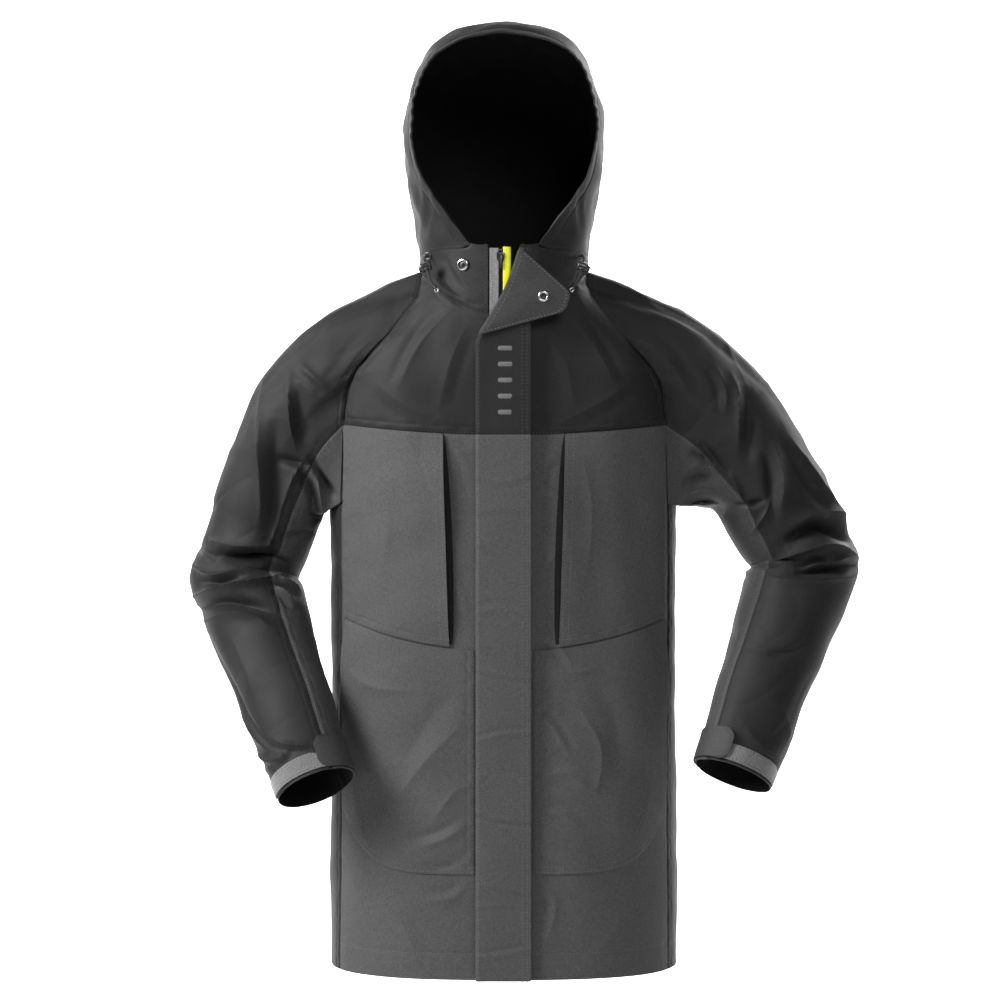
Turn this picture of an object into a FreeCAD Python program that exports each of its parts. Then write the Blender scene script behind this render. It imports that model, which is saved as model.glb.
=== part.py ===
import FreeCAD, Part
import math
import os

# Foul weather jacket, worn position: zip closed, hood up, arms bent at the elbows.
# Millimetres. Origin at the wearer's neck base, +Z up, the front faces -Y,
# and +X is the wearer's left. "right" and "left" are the wearer's.

V = FreeCAD.Vector

# ---- driving dimensions ---------------------------------------------------
FABRIC = 2.0              # thickness of a panel: shell fabric and its lining
SEAM_GAP = 0.6            # clear space between two panels that are sewn together
ARMHOLE_GAP = 5.2         # the same at the raglan seam, where the panels meet at an angle
HEM_Z = -781.0            # bottom edge
YOKE_Z = -173.0           # seam under the black yoke, at the centre front
YOKE_RISE = 13.0          # how much higher that seam is at the armhole
ARMPIT_Z = -250.0         # top of the side panels
SIDE_SEAM_X = 188.0       # where front and back panels end
FRONT_Y0 = -115.0         # centre front at the neck base
FRONT_SLOPE = 0.0384      # how much the centre front leans out, per mm down
TORSO_POWER = 2.6         # squareness of the body's cross section
HALF_WIDTHS = [(HEM_Z, 199), (-500, 199), (ARMPIT_Z, 201), (-150, 203), (-100, 196),
               (-60, 172), (-25, 135), (0, 108), (40, 100)]
BACK_DEPTHS = [(HEM_Z, 118), (-300, 120), (-160, 121), (-60, 108), (0, 84), (40, 80)]
RAGLAN_SEAM = [(ARMPIT_Z, 188), (-150, 184), (-119, 181), (-96, 170), (-55, 132),
               (-12, 99), (24, 94)]

COLLAR_TOP = 42.0
COLLAR_HALF_WIDTH = 98.0
COLLAR_BACK_Y = 86.0
COLLAR_POWER = 2.2
COLLAR_DROP = 38.0        # the collar's seam at the centre front, below the origin
COLLAR_RISE = 20.0        # the same seam at the sides and the back, above the origin

ZIP_X = -4.0              # centre line of the front zip
ZIP_TOP = 34.0
ZIP_BOTTOM = -766.0
ZIP_TRAVEL = 755.0
TAPE_HALF = 11.0
TEETH_HALF = 2.6
TEETH_GAP = 0.5           # half of the channel between the two rows

FLAP_LEFT = 29.0          # the storm flap's sewn edge
FLAP_RIGHT = -32.0        # its free edge
FLAP_DEPTH = 6.0          # how far the flap stands off the front
FLAP_THICK = 1.8
BEND_LOW = -160.0         # below this the flap is free to open
FOLD_A = (-29.0, -62.0)   # lower end of the fold line of the flap's top corner
FOLD_B = (18.0, 37.0)     # upper end
FOLD_DEPTH = 10.8
CORNER_TILT = 2.0         # degrees that the folded corner leans to the chest
SOCKET = (44.0, -18.0)    # snap socket in the corner, across and up
STUD_ANGLE = -26.0        # snap stud on the collar
STUD_Z = 20.0

POCKET_SLIT_X = 66.0
POCKET_OUTER_X = 178.0
CHEST_MOUTH = 12.0        # how far the open edge of a pocket stands off
LOWER_MOUTH = 9.5
POCKET_GAP = 2.0          # each pocket's edge to the middle of the seam between them

SLEEVES = {
    "right": {"side": -1, "top": (-332, -2, -222), "armpit": (-214, -2, -268),
              "elbow": (-303, 5, -340), "cuff": (-209, -147, -566), "shoulder": 50},
    "left": {"side": 1, "top": (366, 0, -204), "armpit": (246, 0, -258),
             "elbow": (352, 5, -322), "cuff": (258, -104, -557), "shoulder": 41},
}
SHOULDER_ROUND = (1, 0.78, 0.3, 0, 0, 0, 0.3, 0.78)    # share of the rise, round a sleeve
ELBOW_R = 61.0
CUFF_R = 45.0
ELBOW_HALF = 40.0         # the elbow's crease zone, each way along the sleeve


# ---- small helpers ----------------------------------------------------------
def between(table, x):
    """Straight-line value at x in a table of (x, value) pairs in rising order."""
    if x <= table[0][0]:
        return float(table[0][1])
    for (x0, v0), (x1, v1) in zip(table, table[1:]):
        if x <= x1:
            return v0 + (v1 - v0) * (x - x0) / (x1 - x0)
    return float(table[-1][1])


def steps(low, high, count):
    return [low + (high - low) * i / (count - 1) for i in range(count)]


def surface(grid):
    made = Part.BSplineSurface()
    made.interpolate(grid)
    return made


def skin(outer, inner):
    """A closed solid between two grids of points with the same rows and columns."""
    a, b = surface(outer), surface(inner)
    faces = [a.toShape(), b.toShape()]
    low_u, high_u, low_v, high_v = a.bounds()
    for u in (low_u, high_u):
        faces.append(Part.makeRuledSurface(a.uIso(u).toShape(), b.uIso(u).toShape()))
    for v in (low_v, high_v):
        faces.append(Part.makeRuledSurface(a.vIso(v).toShape(), b.vIso(v).toShape()))
    group = Part.makeCompound(faces)
    group.sewShape(0.01)
    solid = Part.makeSolid(group.Shells[0])
    if solid.Volume < 0:
        solid.reverse()
    if not solid.isValid() or solid.Volume <= 0:
        raise ValueError("a skin did not close")
    return solid


def normals(grid):
    """Unit normals of a grid of points, from the neighbours of each point."""
    rows, columns = len(grid), len(grid[0])
    out = []
    for i in range(rows):
        line = []
        for j in range(columns):
            along = grid[min(i + 1, rows - 1)][j] - grid[max(i - 1, 0)][j]
            across = grid[i][min(j + 1, columns - 1)] - grid[i][max(j - 1, 0)]
            n = along.cross(across)
            n.normalize()
            line.append(n)
        out.append(line)
    return out


def panel(grid, outside, thickness=FABRIC, lift=0.0):
    """A sheet on a grid of points: from lift to lift - thickness along its outward normal.

    outside is a point that the outward normal looks towards from the grid's middle.
    lift is a number, or a function of the row and column shares (0 to 1)."""
    rows, columns = len(grid), len(grid[0])
    field = normals(grid)
    middle_n = field[rows // 2][columns // 2]
    sign = 1 if middle_n.dot(V(*outside) - grid[rows // 2][columns // 2]) > 0 else -1
    outer, inner = [], []
    for i in range(rows):
        high, low = [], []
        for j in range(columns):
            up = lift(i / (rows - 1), j / (columns - 1)) if callable(lift) else lift
            n = field[i][j] * sign
            high.append(grid[i][j] + n * up)
            low.append(grid[i][j] + n * (up - thickness))
        outer.append(high)
        inner.append(low)
    return skin(outer, inner)


# ---- surfaces of the body --------------------------------------------------
def front_y(z):
    return FRONT_Y0 + FRONT_SLOPE * z


def torso_y(x, z, side=-1):
    """The body's outer surface at x and z: side -1 is the front, 1 is the back."""
    half = between(HALF_WIDTHS, z)
    back = between(BACK_DEPTHS, z)
    middle = (front_y(z) + back) / 2
    depth = (back - front_y(z)) / 2
    share = min(abs(x) / half, 1.0)
    return middle + side * depth * (1 - share ** TORSO_POWER) ** (1 / TORSO_POWER)


def torso_angle(angle, z):
    """The same surface by angle: 0 at +X, 90 at the back, -90 at the front."""
    half = between(HALF_WIDTHS, z)
    back = between(BACK_DEPTHS, z)
    c, s = math.cos(math.radians(angle)), math.sin(math.radians(angle))
    power = 2 / TORSO_POWER
    x = half * math.copysign(abs(c) ** power, c)
    y = (back - front_y(z)) / 2 * math.copysign(abs(s) ** power, s)
    return V(x, (front_y(z) + back) / 2 + y, z)


def seam_angle(z):
    """The angle at which the side seam cuts the cross section."""
    share = SIDE_SEAM_X / between(HALF_WIDTHS, z)
    return math.degrees(math.acos(share ** (TORSO_POWER / 2)))


def yoke_z(x):
    return YOKE_Z + YOKE_RISE * (abs(x) / SIDE_SEAM_X) ** 2


def collar_bottom(share):
    """Height of the collar's seam; share is 0 at the centre front, 1 at the back."""
    rise = min(share * 2, 1.0)
    return -COLLAR_DROP + (COLLAR_DROP + COLLAR_RISE) * rise * rise * (3 - 2 * rise)


def collar_point(angle, z):
    """The collar's outer surface: angle 0 is the centre front, 90 the wearer's left."""
    front = front_y(z) + 1.5
    s, c = math.sin(math.radians(angle)), math.cos(math.radians(angle))
    power = 2 / COLLAR_POWER
    half = (COLLAR_BACK_Y - front) / 2
    x = COLLAR_HALF_WIDTH * math.copysign(abs(s) ** power, s)
    return V(x, front + half - half * math.copysign(abs(c) ** power, c), z)


FRONT_TILT = math.atan(FRONT_SLOPE)
UP = V(0, math.sin(FRONT_TILT), math.cos(FRONT_TILT))
OUT = V(0, -math.cos(FRONT_TILT), math.sin(FRONT_TILT))


def on_front(x, up, out):
    """A point in the frame of the flat centre front: across, along the zip, outwards."""
    return V(x, FRONT_Y0, 0) + UP * up + OUT * out


def plate(outline, low, high):
    """A flat piece on the centre front: an outline of (across, up) points, extruded."""
    points = [on_front(x, up, low) for x, up in outline]
    wire = Part.makePolygon(points + points[:1])
    return Part.Face(wire).extrude(OUT * (high - low))


def strip(x0, x1, up0, up1, low, high):
    return plate([(x0, up0), (x1, up0), (x1, up1), (x0, up1)], low, high)


# ---- body panels -------------------------------------------------------------
ZIP_EDGE = {"right": ZIP_X - TAPE_HALF - 0.5, "left": ZIP_X + TAPE_HALF + 0.5}
SIDES = {"right": -1, "left": 1}


def front_grid(side, x_inner, z_low, z_high, rows, columns=9):
    """Points of one front half between the zip and the side or raglan seam."""
    grid = []
    for i in range(rows):
        line = []
        for j in range(columns):
            share = j / (columns - 1)
            x_guess = x_inner + (side * SIDE_SEAM_X - x_inner) * share
            z = z_low(x_guess) + (z_high(x_guess) - z_low(x_guess)) * i / (rows - 1)
            x_outer = side * (between(RAGLAN_SEAM, z) - SEAM_GAP)
            x = x_inner + (x_outer - x_inner) * share
            line.append(V(x, torso_y(x, z), z))
        grid.append(line)
    return grid


def front_panel(name):
    grid = front_grid(SIDES[name], ZIP_EDGE[name], lambda x: HEM_Z,
                      lambda x: yoke_z(x) - SEAM_GAP, 8)
    return panel(grid, (0, -900, -400))


def front_yoke(name):
    side = SIDES[name]

    def top(x):
        share = abs(x) / SIDE_SEAM_X
        return -COLLAR_DROP - 2 + (COLLAR_DROP + 12) * share ** 1.6

    grid = front_grid(side, ZIP_EDGE[name], lambda x: yoke_z(x) + SEAM_GAP, top, 7)
    return panel(grid, (0, -900, -80))


def side_panel(name):
    """The dark strip under the arm, from the front seam round to the back seam."""
    side = SIDES[name]
    grid = []
    for z in steps(HEM_Z, ARMPIT_Z - 16, 6):
        seam = seam_angle(z) - 0.6
        line = [torso_angle(a, z) for a in steps(-seam, seam, 9)]
        grid.append([V(side * p.x, p.y, p.z) for p in line])
    return panel(grid, (side * 900, 0, -400))


def back_grid(z_low, z_high, rows, columns=13):
    grid = []
    for i in range(rows):
        line = []
        for j in range(columns):
            across = -1 + 2 * j / (columns - 1)
            x_guess = across * SIDE_SEAM_X
            z = z_low(x_guess) + (z_high(x_guess) - z_low(x_guess)) * i / (rows - 1)
            x = across * (between(RAGLAN_SEAM, z) - SEAM_GAP)
            line.append(V(x, torso_y(x, z, 1), z))
        grid.append(line)
    return grid


def back_panel():
    grid = back_grid(lambda x: HEM_Z, lambda x: yoke_z(x) - SEAM_GAP, 8)
    return panel(grid, (0, 900, -400))


def back_yoke():
    def top(x):
        return COLLAR_RISE - 3 - 8 * (abs(x) / SIDE_SEAM_X) ** 2

    grid = back_grid(lambda x: yoke_z(x) + SEAM_GAP, top, 7)
    return panel(grid, (0, 900, -80))


def collar():
    """The stand-up collar, open at the front for the zip."""
    grid = []
    for i in range(4):
        line = []
        for angle in steps(11, 349, 25):
            share = 1 - abs(180 - angle) / 180
            low = collar_bottom(share) + SEAM_GAP
            z = low + (COLLAR_TOP - low) * i / 3
            line.append(collar_point(angle, z))
        grid.append(line)
    return panel(grid, (0, 900, 0), thickness=2.6)


def hanger_loop():
    """A cord-width tape loop inside the collar at the nape."""
    wide, deep, tall = 56.0, 8.0, 7.0
    back = COLLAR_BACK_Y - 6.2
    bar = Part.makeBox(wide, 1.6, tall, V(-wide / 2, back - deep, 26))
    ends = [Part.makeBox(8, deep, tall, V(x, back - deep, 26)) for x in (-wide / 2, wide / 2 - 8)]
    return bar.fuse(ends[0]).fuse(ends[1]).removeSplitter()


# ---- front zip ----------------------------------------------------------------
def zip_tape(name):
    side = SIDES[name]
    inner, outer = sorted((ZIP_X + side * (TEETH_HALF + 0.2), ZIP_X + side * TAPE_HALF))
    top = -24.0 if name == "left" else ZIP_TOP + 4
    return strip(inner, outer, ZIP_BOTTOM - 6, top, -1.6, -0.6)


def chin_guard():
    """The bright facing beside the top of the zip, cut on a slant at its lower end."""
    x0, x1 = ZIP_X + TEETH_HALF + 0.2, ZIP_X + TAPE_HALF
    return plate([(x0, -14), (x1, -23), (x1, ZIP_TOP + 5), (x0, ZIP_TOP + 5)], -1.8, -0.2)


def zip_teeth():
    """Two rows of coil teeth, each a ribbed strip, with the slider's channel between."""
    rows = []
    for side in (-1, 1):
        inner, outer = sorted((ZIP_X + side * TEETH_GAP, ZIP_X + side * TEETH_HALF))
        rows.append(strip(inner, outer, ZIP_BOTTOM, ZIP_TOP, -2.0, -0.2))
    rows.append(strip(ZIP_X - 4.2, ZIP_X + 4.2, ZIP_BOTTOM - 6, ZIP_BOTTOM - 0.6, -0.2, 1.2))
    return Part.makeCompound(rows)


def zip_slider():
    """Front and back plates joined by a thin web that runs between the teeth."""
    top = ZIP_TOP - 1
    shape = [(-4.4, 0), (4.4, 0), (4.4, -7), (2.8, -11), (-2.8, -11), (-4.4, -7)]
    outline = [(ZIP_X + x, top + up) for x, up in shape]
    front = plate(outline, 0.2, 1.4)
    back = plate(outline, -3.6, -2.4)
    web = strip(ZIP_X - 0.3, ZIP_X + 0.3, top - 6, top - 1, -2.5, 0.3)
    lugs = [strip(ZIP_X + x, ZIP_X + x + 0.8, top - 5, top - 1, 1.3, 3.6) for x in (-2.2, 1.4)]
    pin = Part.makeCylinder(0.5, 4.4, on_front(ZIP_X - 2.2, top - 2.6, 2.6), V(1, 0, 0))
    made = front.fuse([back, web, pin] + lugs)
    return made.removeSplitter()


def zip_pull():
    """The puller hangs from the slider's pin."""
    top = ZIP_TOP - 3.6
    eye = Part.makeCylinder(1.1, 2.6, on_front(ZIP_X - 1.3, top, 2.6), V(1, 0, 0))
    tab = plate([(ZIP_X - 1.3, top), (ZIP_X + 1.3, top), (ZIP_X + 1.9, top - 15),
                 (ZIP_X - 1.9, top - 15)], 2.0, 3.2)
    hole = Part.makeCylinder(0.56, 4, on_front(ZIP_X - 2, top, 2.6), V(1, 0, 0))
    return eye.fuse(tab).cut(hole).removeSplitter()


def inner_placket():
    """The wind flap behind the zip."""
    return strip(-24, 18, ZIP_BOTTOM - 4, 24, -9.6, -8.0)


# ---- storm flap -----------------------------------------------------------------
def storm_flap():
    """The free part of the flap over the zip, with the foot along its sewn edge."""
    bottom = HEM_Z + 4
    sheet = strip(FLAP_RIGHT, FLAP_LEFT, bottom, BEND_LOW - 1, FLAP_DEPTH, FLAP_DEPTH + FLAP_THICK)
    foot = strip(FLAP_LEFT - 1.8, FLAP_LEFT, bottom, BEND_LOW - 1, 0.8, FLAP_DEPTH + 0.2)
    return sheet.fuse(foot).removeSplitter()


def storm_flap_bend():
    """The flap's upper part, which twists when the lower part opens."""
    outline = [(FLAP_RIGHT, BEND_LOW), (FLAP_LEFT, BEND_LOW), (FLAP_LEFT, FOLD_B[1]),
               (FOLD_B[0], FOLD_B[1]), (FLAP_RIGHT, FOLD_A[1] - 6)]
    sheet = plate(outline, FLAP_DEPTH, FLAP_DEPTH + FLAP_THICK)
    foot = strip(FLAP_LEFT - 1.8, FLAP_LEFT, BEND_LOW, FOLD_B[1], 0.8, FLAP_DEPTH + 0.2)
    return sheet.fuse(foot).removeSplitter()


FOLD_DIR = V(FOLD_B[0] - FOLD_A[0], FOLD_B[1] - FOLD_A[1], 0)
FOLD_DIR.normalize()


def lean(shape):
    """Turns a piece of the folded corner about the fold line, towards the chest."""
    axis = on_front(FOLD_B[0], FOLD_B[1], 0) - on_front(FOLD_A[0], FOLD_A[1], 0)
    shape.rotate(on_front(FOLD_A[0], FOLD_A[1], FOLD_DEPTH), axis, CORNER_TILT)


def corner_plate(outline, low, high):
    made = plate(outline, FOLD_DEPTH + low, FOLD_DEPTH + high)
    lean(made)
    return made


def flap_corner():
    """The flap's top corner, folded open to the wearer's left."""
    gap = 1.6
    shift = (gap * FOLD_DIR.y, -gap * FOLD_DIR.x)
    a = (FOLD_A[0] + shift[0], FOLD_A[1] + shift[1])
    b = (FOLD_B[0] + shift[0], FOLD_B[1] + shift[1])
    outline = [a, (63, -35), (69, -32), (72, -26), (72.5, -19), (70, -10), b]
    hole = Part.makeCylinder(2.0, 1.6, on_front(SOCKET[0], SOCKET[1], FOLD_DEPTH - 0.8), OUT)
    lean(hole)
    return corner_plate(outline, -0.8, 0.8).cut(hole)


def snap_socket():
    """Cap and socket of the press stud, through the folded corner."""
    middle = on_front(SOCKET[0], SOCKET[1], FOLD_DEPTH)
    cap = Part.makeCylinder(7.0, 1.4, middle - OUT * 2.2, OUT)
    ring = Part.makeCylinder(6.6, 2.0, middle + OUT * 0.8, OUT)
    ring = ring.cut(Part.makeCylinder(2.6, 3.0, middle + OUT * 1.2, OUT))
    post = Part.makeCylinder(2.0, 2.6, middle - OUT * 1.4, OUT)
    made = cap.fuse([ring, post])
    lean(made)
    return made


def snap_stud():
    """The stud on the collar that the corner's socket closes on."""
    foot = collar_point(STUD_ANGLE, STUD_Z)
    side = collar_point(STUD_ANGLE - 4, STUD_Z) - collar_point(STUD_ANGLE + 4, STUD_Z)
    out = side.cross(V(0, 0, 1))
    out.normalize()
    if out.y > 0:
        out = out * -1
    base = Part.makeCylinder(7.2, 1.2, foot + out * 0.5, out)
    rim = Part.makeCylinder(6.0, 1.2, foot + out * 1.7, out)
    rim = rim.cut(Part.makeCylinder(4.4, 1.4, foot + out * 1.7, out))
    post = Part.makeCylinder(2.0, 2.8, foot + out * 0.6, out)
    return base.fuse([rim, post])


PATCHES = (-225, -300, -385, -470, -555, -640, -725)


def flap_hook_patches():
    return Part.makeCompound([
        strip(-30, -18, up, up + 40, FLAP_DEPTH - 1.3, FLAP_DEPTH - 0.1) for up in PATCHES])


def front_loop_patches():
    return Part.makeCompound([
        strip(-31, -17, up - 1, up + 41, 0.3, 1.6) for up in PATCHES])


# ---- pockets ------------------------------------------------------------------------
def pocket_seam(x):
    """Height of the seam between the chest pockets and the lower pockets."""
    return -415 + 32 * (abs(x) / 178) ** 2.2


def lower_pocket_foot(x):
    return -660 + 40 * (abs(x) / SIDE_SEAM_X) ** 6


def pocket(name, z_low, z_high, x_open, x_shut, mouth):
    """A patch pocket: shut on three edges, standing off the front at its open edge.

    z_low and z_high give its lower and upper edges at x."""
    side = SIDES[name]
    grid = []
    for i in range(9):
        line = []
        for j in range(9):
            share = j / 8
            x = side * (x_shut + (x_open - x_shut) * share)
            z = z_low(x) + (z_high(x) - z_low(x)) * i / 8
            line.append(V(x, torso_y(x, z), z))
        grid.append(line)

    def lift(row, column):
        ends = math.sin(math.pi * row) ** 0.6 if 0 < row < 1 else 0.0
        return FABRIC * 0.7 + 0.6 + (mouth - 1.0) * ends * column ** 1.5

    return panel(grid, (0, -900, -300), thickness=FABRIC * 0.7, lift=lift)


# ---- hood --------------------------------------------------------------------------
# Half of the hood as four lines from the face opening to the nape. Each line has a
# point at the collar, three up the side, and one over the crown.
HOOD_LINES = [
    [(-54, -109, 47), (-94, -101, 122), (-105, -93, 196), (-76, -91, 262), (0, -92, 285)],
    [(-86, -72, 44), (-110, -52, 122), (-113, -36, 205), (-80, -28, 284), (0, -28, 308)],
    [(-99, -18, 44), (-108, 28, 118), (-106, 52, 200), (-68, 72, 262), (0, 82, 282)],
    [(-94, 38, 44), (-90, 76, 100), (-78, 104, 160), (-46, 122, 196), (0, 128, 208)],
    [(-70, 68, 44), (-55, 77, 44), (-39, 83, 44), (-20, 87, 44), (0, 88, 44)],
]


def smooth(points, share):
    """A point on the Catmull-Rom curve through evenly spaced points; share is 0 to 1."""
    place = min(max(share, 0.0), 1.0) * (len(points) - 1)
    k = min(int(place), len(points) - 2)
    t = place - k
    b, c = points[k], points[k + 1]
    a = points[k - 1] if k > 0 else b * 2 - c
    d = points[k + 2] if k + 2 < len(points) else c * 2 - b
    bend = (b - c) * 3 + d - a
    return b + ((c - a) + (a * 2 - b * 5 + c * 4 - d + bend * t) * t) * (t * 0.5)


def hood_point(v, u):
    """The hood: v runs from the face opening to the nape, u from right to left."""
    rows = []
    for line in HOOD_LINES:
        half = [V(*p) for p in line]
        rows.append(smooth(half + [V(-p.x, p.y, p.z) for p in half[-2::-1]], u))
    return smooth(rows, v)


def hood_patch(v0, v1, u0, u1, thickness=FABRIC, lift=0.0, rows=6, columns=9):
    grid = [[hood_point(v, u) for u in steps(u0, u1, columns)] for v in steps(v0, v1, rows)]
    middle = grid[rows // 2][columns // 2]
    outside = V(0, 0, 150) + (middle - V(0, 0, 150)) * 3
    return panel(grid, tuple(outside), thickness, lift)


BRIM_V = 0.055
LOWER_U = 0.16
CENTRE_U = 0.40
NAPE_V = 0.80
HOOD_GAP = 0.004


def hood_nodes():
    """Hood panels; the strip along the collar is a piece of its own, because it folds."""
    made = {}
    side_low, side_high = LOWER_U + HOOD_GAP, CENTRE_U - HOOD_GAP
    back = NAPE_V - HOOD_GAP
    made["hood_brim"] = hood_patch(0, BRIM_V - HOOD_GAP, side_low, 1 - side_low, 3.2, 0.6,
                                   3, 17)
    made["hood_side_right"] = hood_patch(BRIM_V, back, side_low, side_high)
    made["hood_side_left"] = hood_patch(BRIM_V, back, 1 - side_high, 1 - side_low)
    made["hood_centre"] = hood_patch(BRIM_V, back, CENTRE_U, 1 - CENTRE_U)
    lower = [hood_patch(0, 1, 0.004, LOWER_U), hood_patch(0, 1, 1 - LOWER_U, 0.996),
             hood_patch(NAPE_V, 0.97, side_low, 1 - side_low, rows=4, columns=15)]
    made["hood_lower"] = Part.makeCompound(lower)
    return made


# ---- sleeves ----------------------------------------------------------------------------
def closed_curve(points):
    curve = Part.BSplineCurve()
    count = len(points)
    curve.interpolate(Points=points, PeriodicFlag=True, Parameters=[float(i) for i in range(count + 1)])
    return curve


def armhole_points(side):
    """Eight points round the raglan armhole: top, front, armpit, back."""
    front_z = (-52, -128, -205)
    front = []
    for z in front_z:
        x = side * (between(RAGLAN_SEAM, z) + ARMHOLE_GAP)
        front.append(V(x, torso_y(x, z), z))
    back = [V(p.x, torso_y(p.x, p.z, 1), p.z) for p in reversed(front)]
    top = V(side * 101, -12, 27)
    bottom = V(side * 197, 0, ARMPIT_Z - 4)
    return [top] + front + [bottom] + back


def sleeve_frame(spec):
    """Ring centres along the sleeve, with the outward and forward directions of each."""
    top, armpit = V(*spec["top"]), V(*spec["armpit"])
    elbow, cuff = V(*spec["elbow"]), V(*spec["cuff"])
    start = (top + armpit) * 0.5
    upper = elbow - start
    upper.normalize()
    fore = cuff - elbow
    fore.normalize()
    return start, elbow, cuff, upper, fore


def ring(centre, along, side, radius, deep=1.0):
    """Eight points of a sleeve's ring: outer, front-outer, front, ... clockwise by index."""
    forward = V(0, -1, 0) - along * V(0, -1, 0).dot(along)
    forward.normalize()
    outward = forward.cross(along)
    if outward.x * side < 0:
        outward = outward * -1
    points = []
    for i in range(8):
        a = math.radians(45 * i)
        points.append(centre + outward * radius * math.cos(a) + forward * radius * deep * math.sin(a))
    return points


def sleeve_rings(spec):
    """Rings of the whole sleeve, by section name."""
    side = spec["side"]
    start, elbow, cuff, upper, fore = sleeve_frame(spec)
    half = (V(*spec["top"]) - V(*spec["armpit"])).Length / 2
    first = ring(start, upper, side, half)
    hole = armhole_points(side)
    bulge = [spec["shoulder"] * share for share in SHOULDER_ROUND]
    outward = V(side * 0.7, 0, 0.72)
    between_rings = []
    for share in (0.33, 0.66):
        lift = 4 * share * (1 - share)
        between_rings.append([a + (b - a) * share + outward * (k * lift)
                              for a, b, k in zip(hole, first, bulge)])
    mid = upper + fore
    mid.normalize()
    above = elbow - upper * ELBOW_HALF
    below = elbow + fore * ELBOW_HALF
    reach = (cuff - elbow).Length
    rings = {
        "shoulder": [hole] + between_rings + [first],
        "upper": [ring(start + upper * 2, upper, side, half),
                  ring((start + above) * 0.5, upper, side, (half + ELBOW_R) / 2),
                  ring(above, upper, side, ELBOW_R)],
        "elbow": [ring(above + upper * 1.5, upper, side, ELBOW_R),
                  ring(elbow, mid, side, ELBOW_R),
                  ring(below - fore * 1.5, fore, side, ELBOW_R)],
        "forearm": [],
    }
    for share in (0.0, 0.33, 0.66, 1.0):
        at = ELBOW_HALF + (reach - ELBOW_HALF) * share
        radius = ELBOW_R + (CUFF_R - ELBOW_R) * share ** 0.8
        rings["forearm"].append(ring(elbow + fore * at, fore, side, radius))
    return rings


def sector(rings, first, last, thickness=FABRIC, lift=0.0, columns=13):
    """A panel over part of the rings; first and last are turns in eighths, per ring."""
    curves = [closed_curve(points) for points in rings]
    grid = []
    for k, curve in enumerate(curves):
        low = first[k] if isinstance(first, (list, tuple)) else first
        high = last[k] if isinstance(last, (list, tuple)) else last
        grid.append([curve.value(u % 8) for u in steps(low, high, columns)])
    rows = len(grid)
    centre = V(0, 0, 0)
    for point in rings[rows // 2]:
        centre = centre + point * 0.125
    middle = grid[rows // 2][columns // 2]
    outside = middle + (middle - centre) * 5
    return panel(grid, tuple(outside), thickness, lift)


GUSSET = {"shoulder": [2.35, 2.48, 2.6, 2.7], "sleeve": 2.72}
SLIT = 0.012


def sleeve_nodes(name, spec):
    """Black outer panels and the grey strip that runs under the arm to the cuff."""
    rings = sleeve_rings(spec)
    made = {}
    edge = GUSSET["shoulder"]
    front = [8 + e - SLIT for e in edge]
    back = [8 - e + SLIT for e in edge]
    made["raglan_shoulder_" + name] = sector(rings["shoulder"], back, front, columns=15)
    made["underarm_gusset_" + name] = sector(rings["shoulder"], [e + SLIT for e in edge],
                                             [8 - e - SLIT for e in edge], columns=9)
    e = GUSSET["sleeve"]
    for part, outer, under in (("upper", "upper_sleeve_", "upper_under_sleeve_"),
                               ("forearm", "forearm_sleeve_", "forearm_under_sleeve_")):
        made[outer + name] = sector(rings[part], 8 - e + SLIT, 8 + e - SLIT, columns=15)
        made[under + name] = sector(rings[part], e + SLIT, 8 - e - SLIT, columns=9)
    made["elbow_section_" + name] = Part.makeCompound([
        sector(rings["elbow"], 8 - e + SLIT, 8 + e - SLIT, columns=15),
        sector(rings["elbow"], e + SLIT, 8 - e - SLIT, columns=9)])
    return made


CUFF_LOOP = (0.1, 2.05)       # where the loop band lies round the cuff, in eighths
CUFF_TAB = (2.15, 4.6)
CUFF_BAND = (0.92, 0.99)      # share of the way from elbow to cuff
TAB_BAND = (0.855, 0.985)


def cuff_rings(spec, band, radius=CUFF_R):
    start, elbow, cuff, upper, fore = sleeve_frame(spec)
    reach = (cuff - elbow).Length
    rings = []
    for share in (band[0], (band[0] + band[1]) / 2, band[1]):
        at = reach * share
        part = (at - ELBOW_HALF) / (reach - ELBOW_HALF)
        r = ELBOW_R + (radius - ELBOW_R) * part ** 0.8
        rings.append(ring(elbow + fore * at, fore, spec["side"], r))
    return rings


def cuff_loop_band(spec):
    return sector(cuff_rings(spec, CUFF_BAND), CUFF_LOOP[0], CUFF_LOOP[1], 1.0, 1.6, columns=9)


def cuff_tab(spec):
    return sector(cuff_rings(spec, TAB_BAND), CUFF_TAB[0], CUFF_TAB[1], 2.0, 3.4, columns=9)


# ---- hood cords -------------------------------------------------------------------------
CORD_R = 1.4
CORD_EXIT = (-86.5, -69.0, 33.0)
CORD_ROUTE = [(-86.5, -69.0, 33.0), (-89.5, -75.5, 32.6), (-91.0, -82.5, 30.0),
              (-90.2, -88.5, 24.5), (-85.5, -103.5, 7.5), (-82.5, -108.5, -0.5),
              (-77.5, -110.5, -7.5)]
LOCK_SHARE = 0.36             # where the lock sits on the straight run
LOCK_TRAVEL = 9.0


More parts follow.
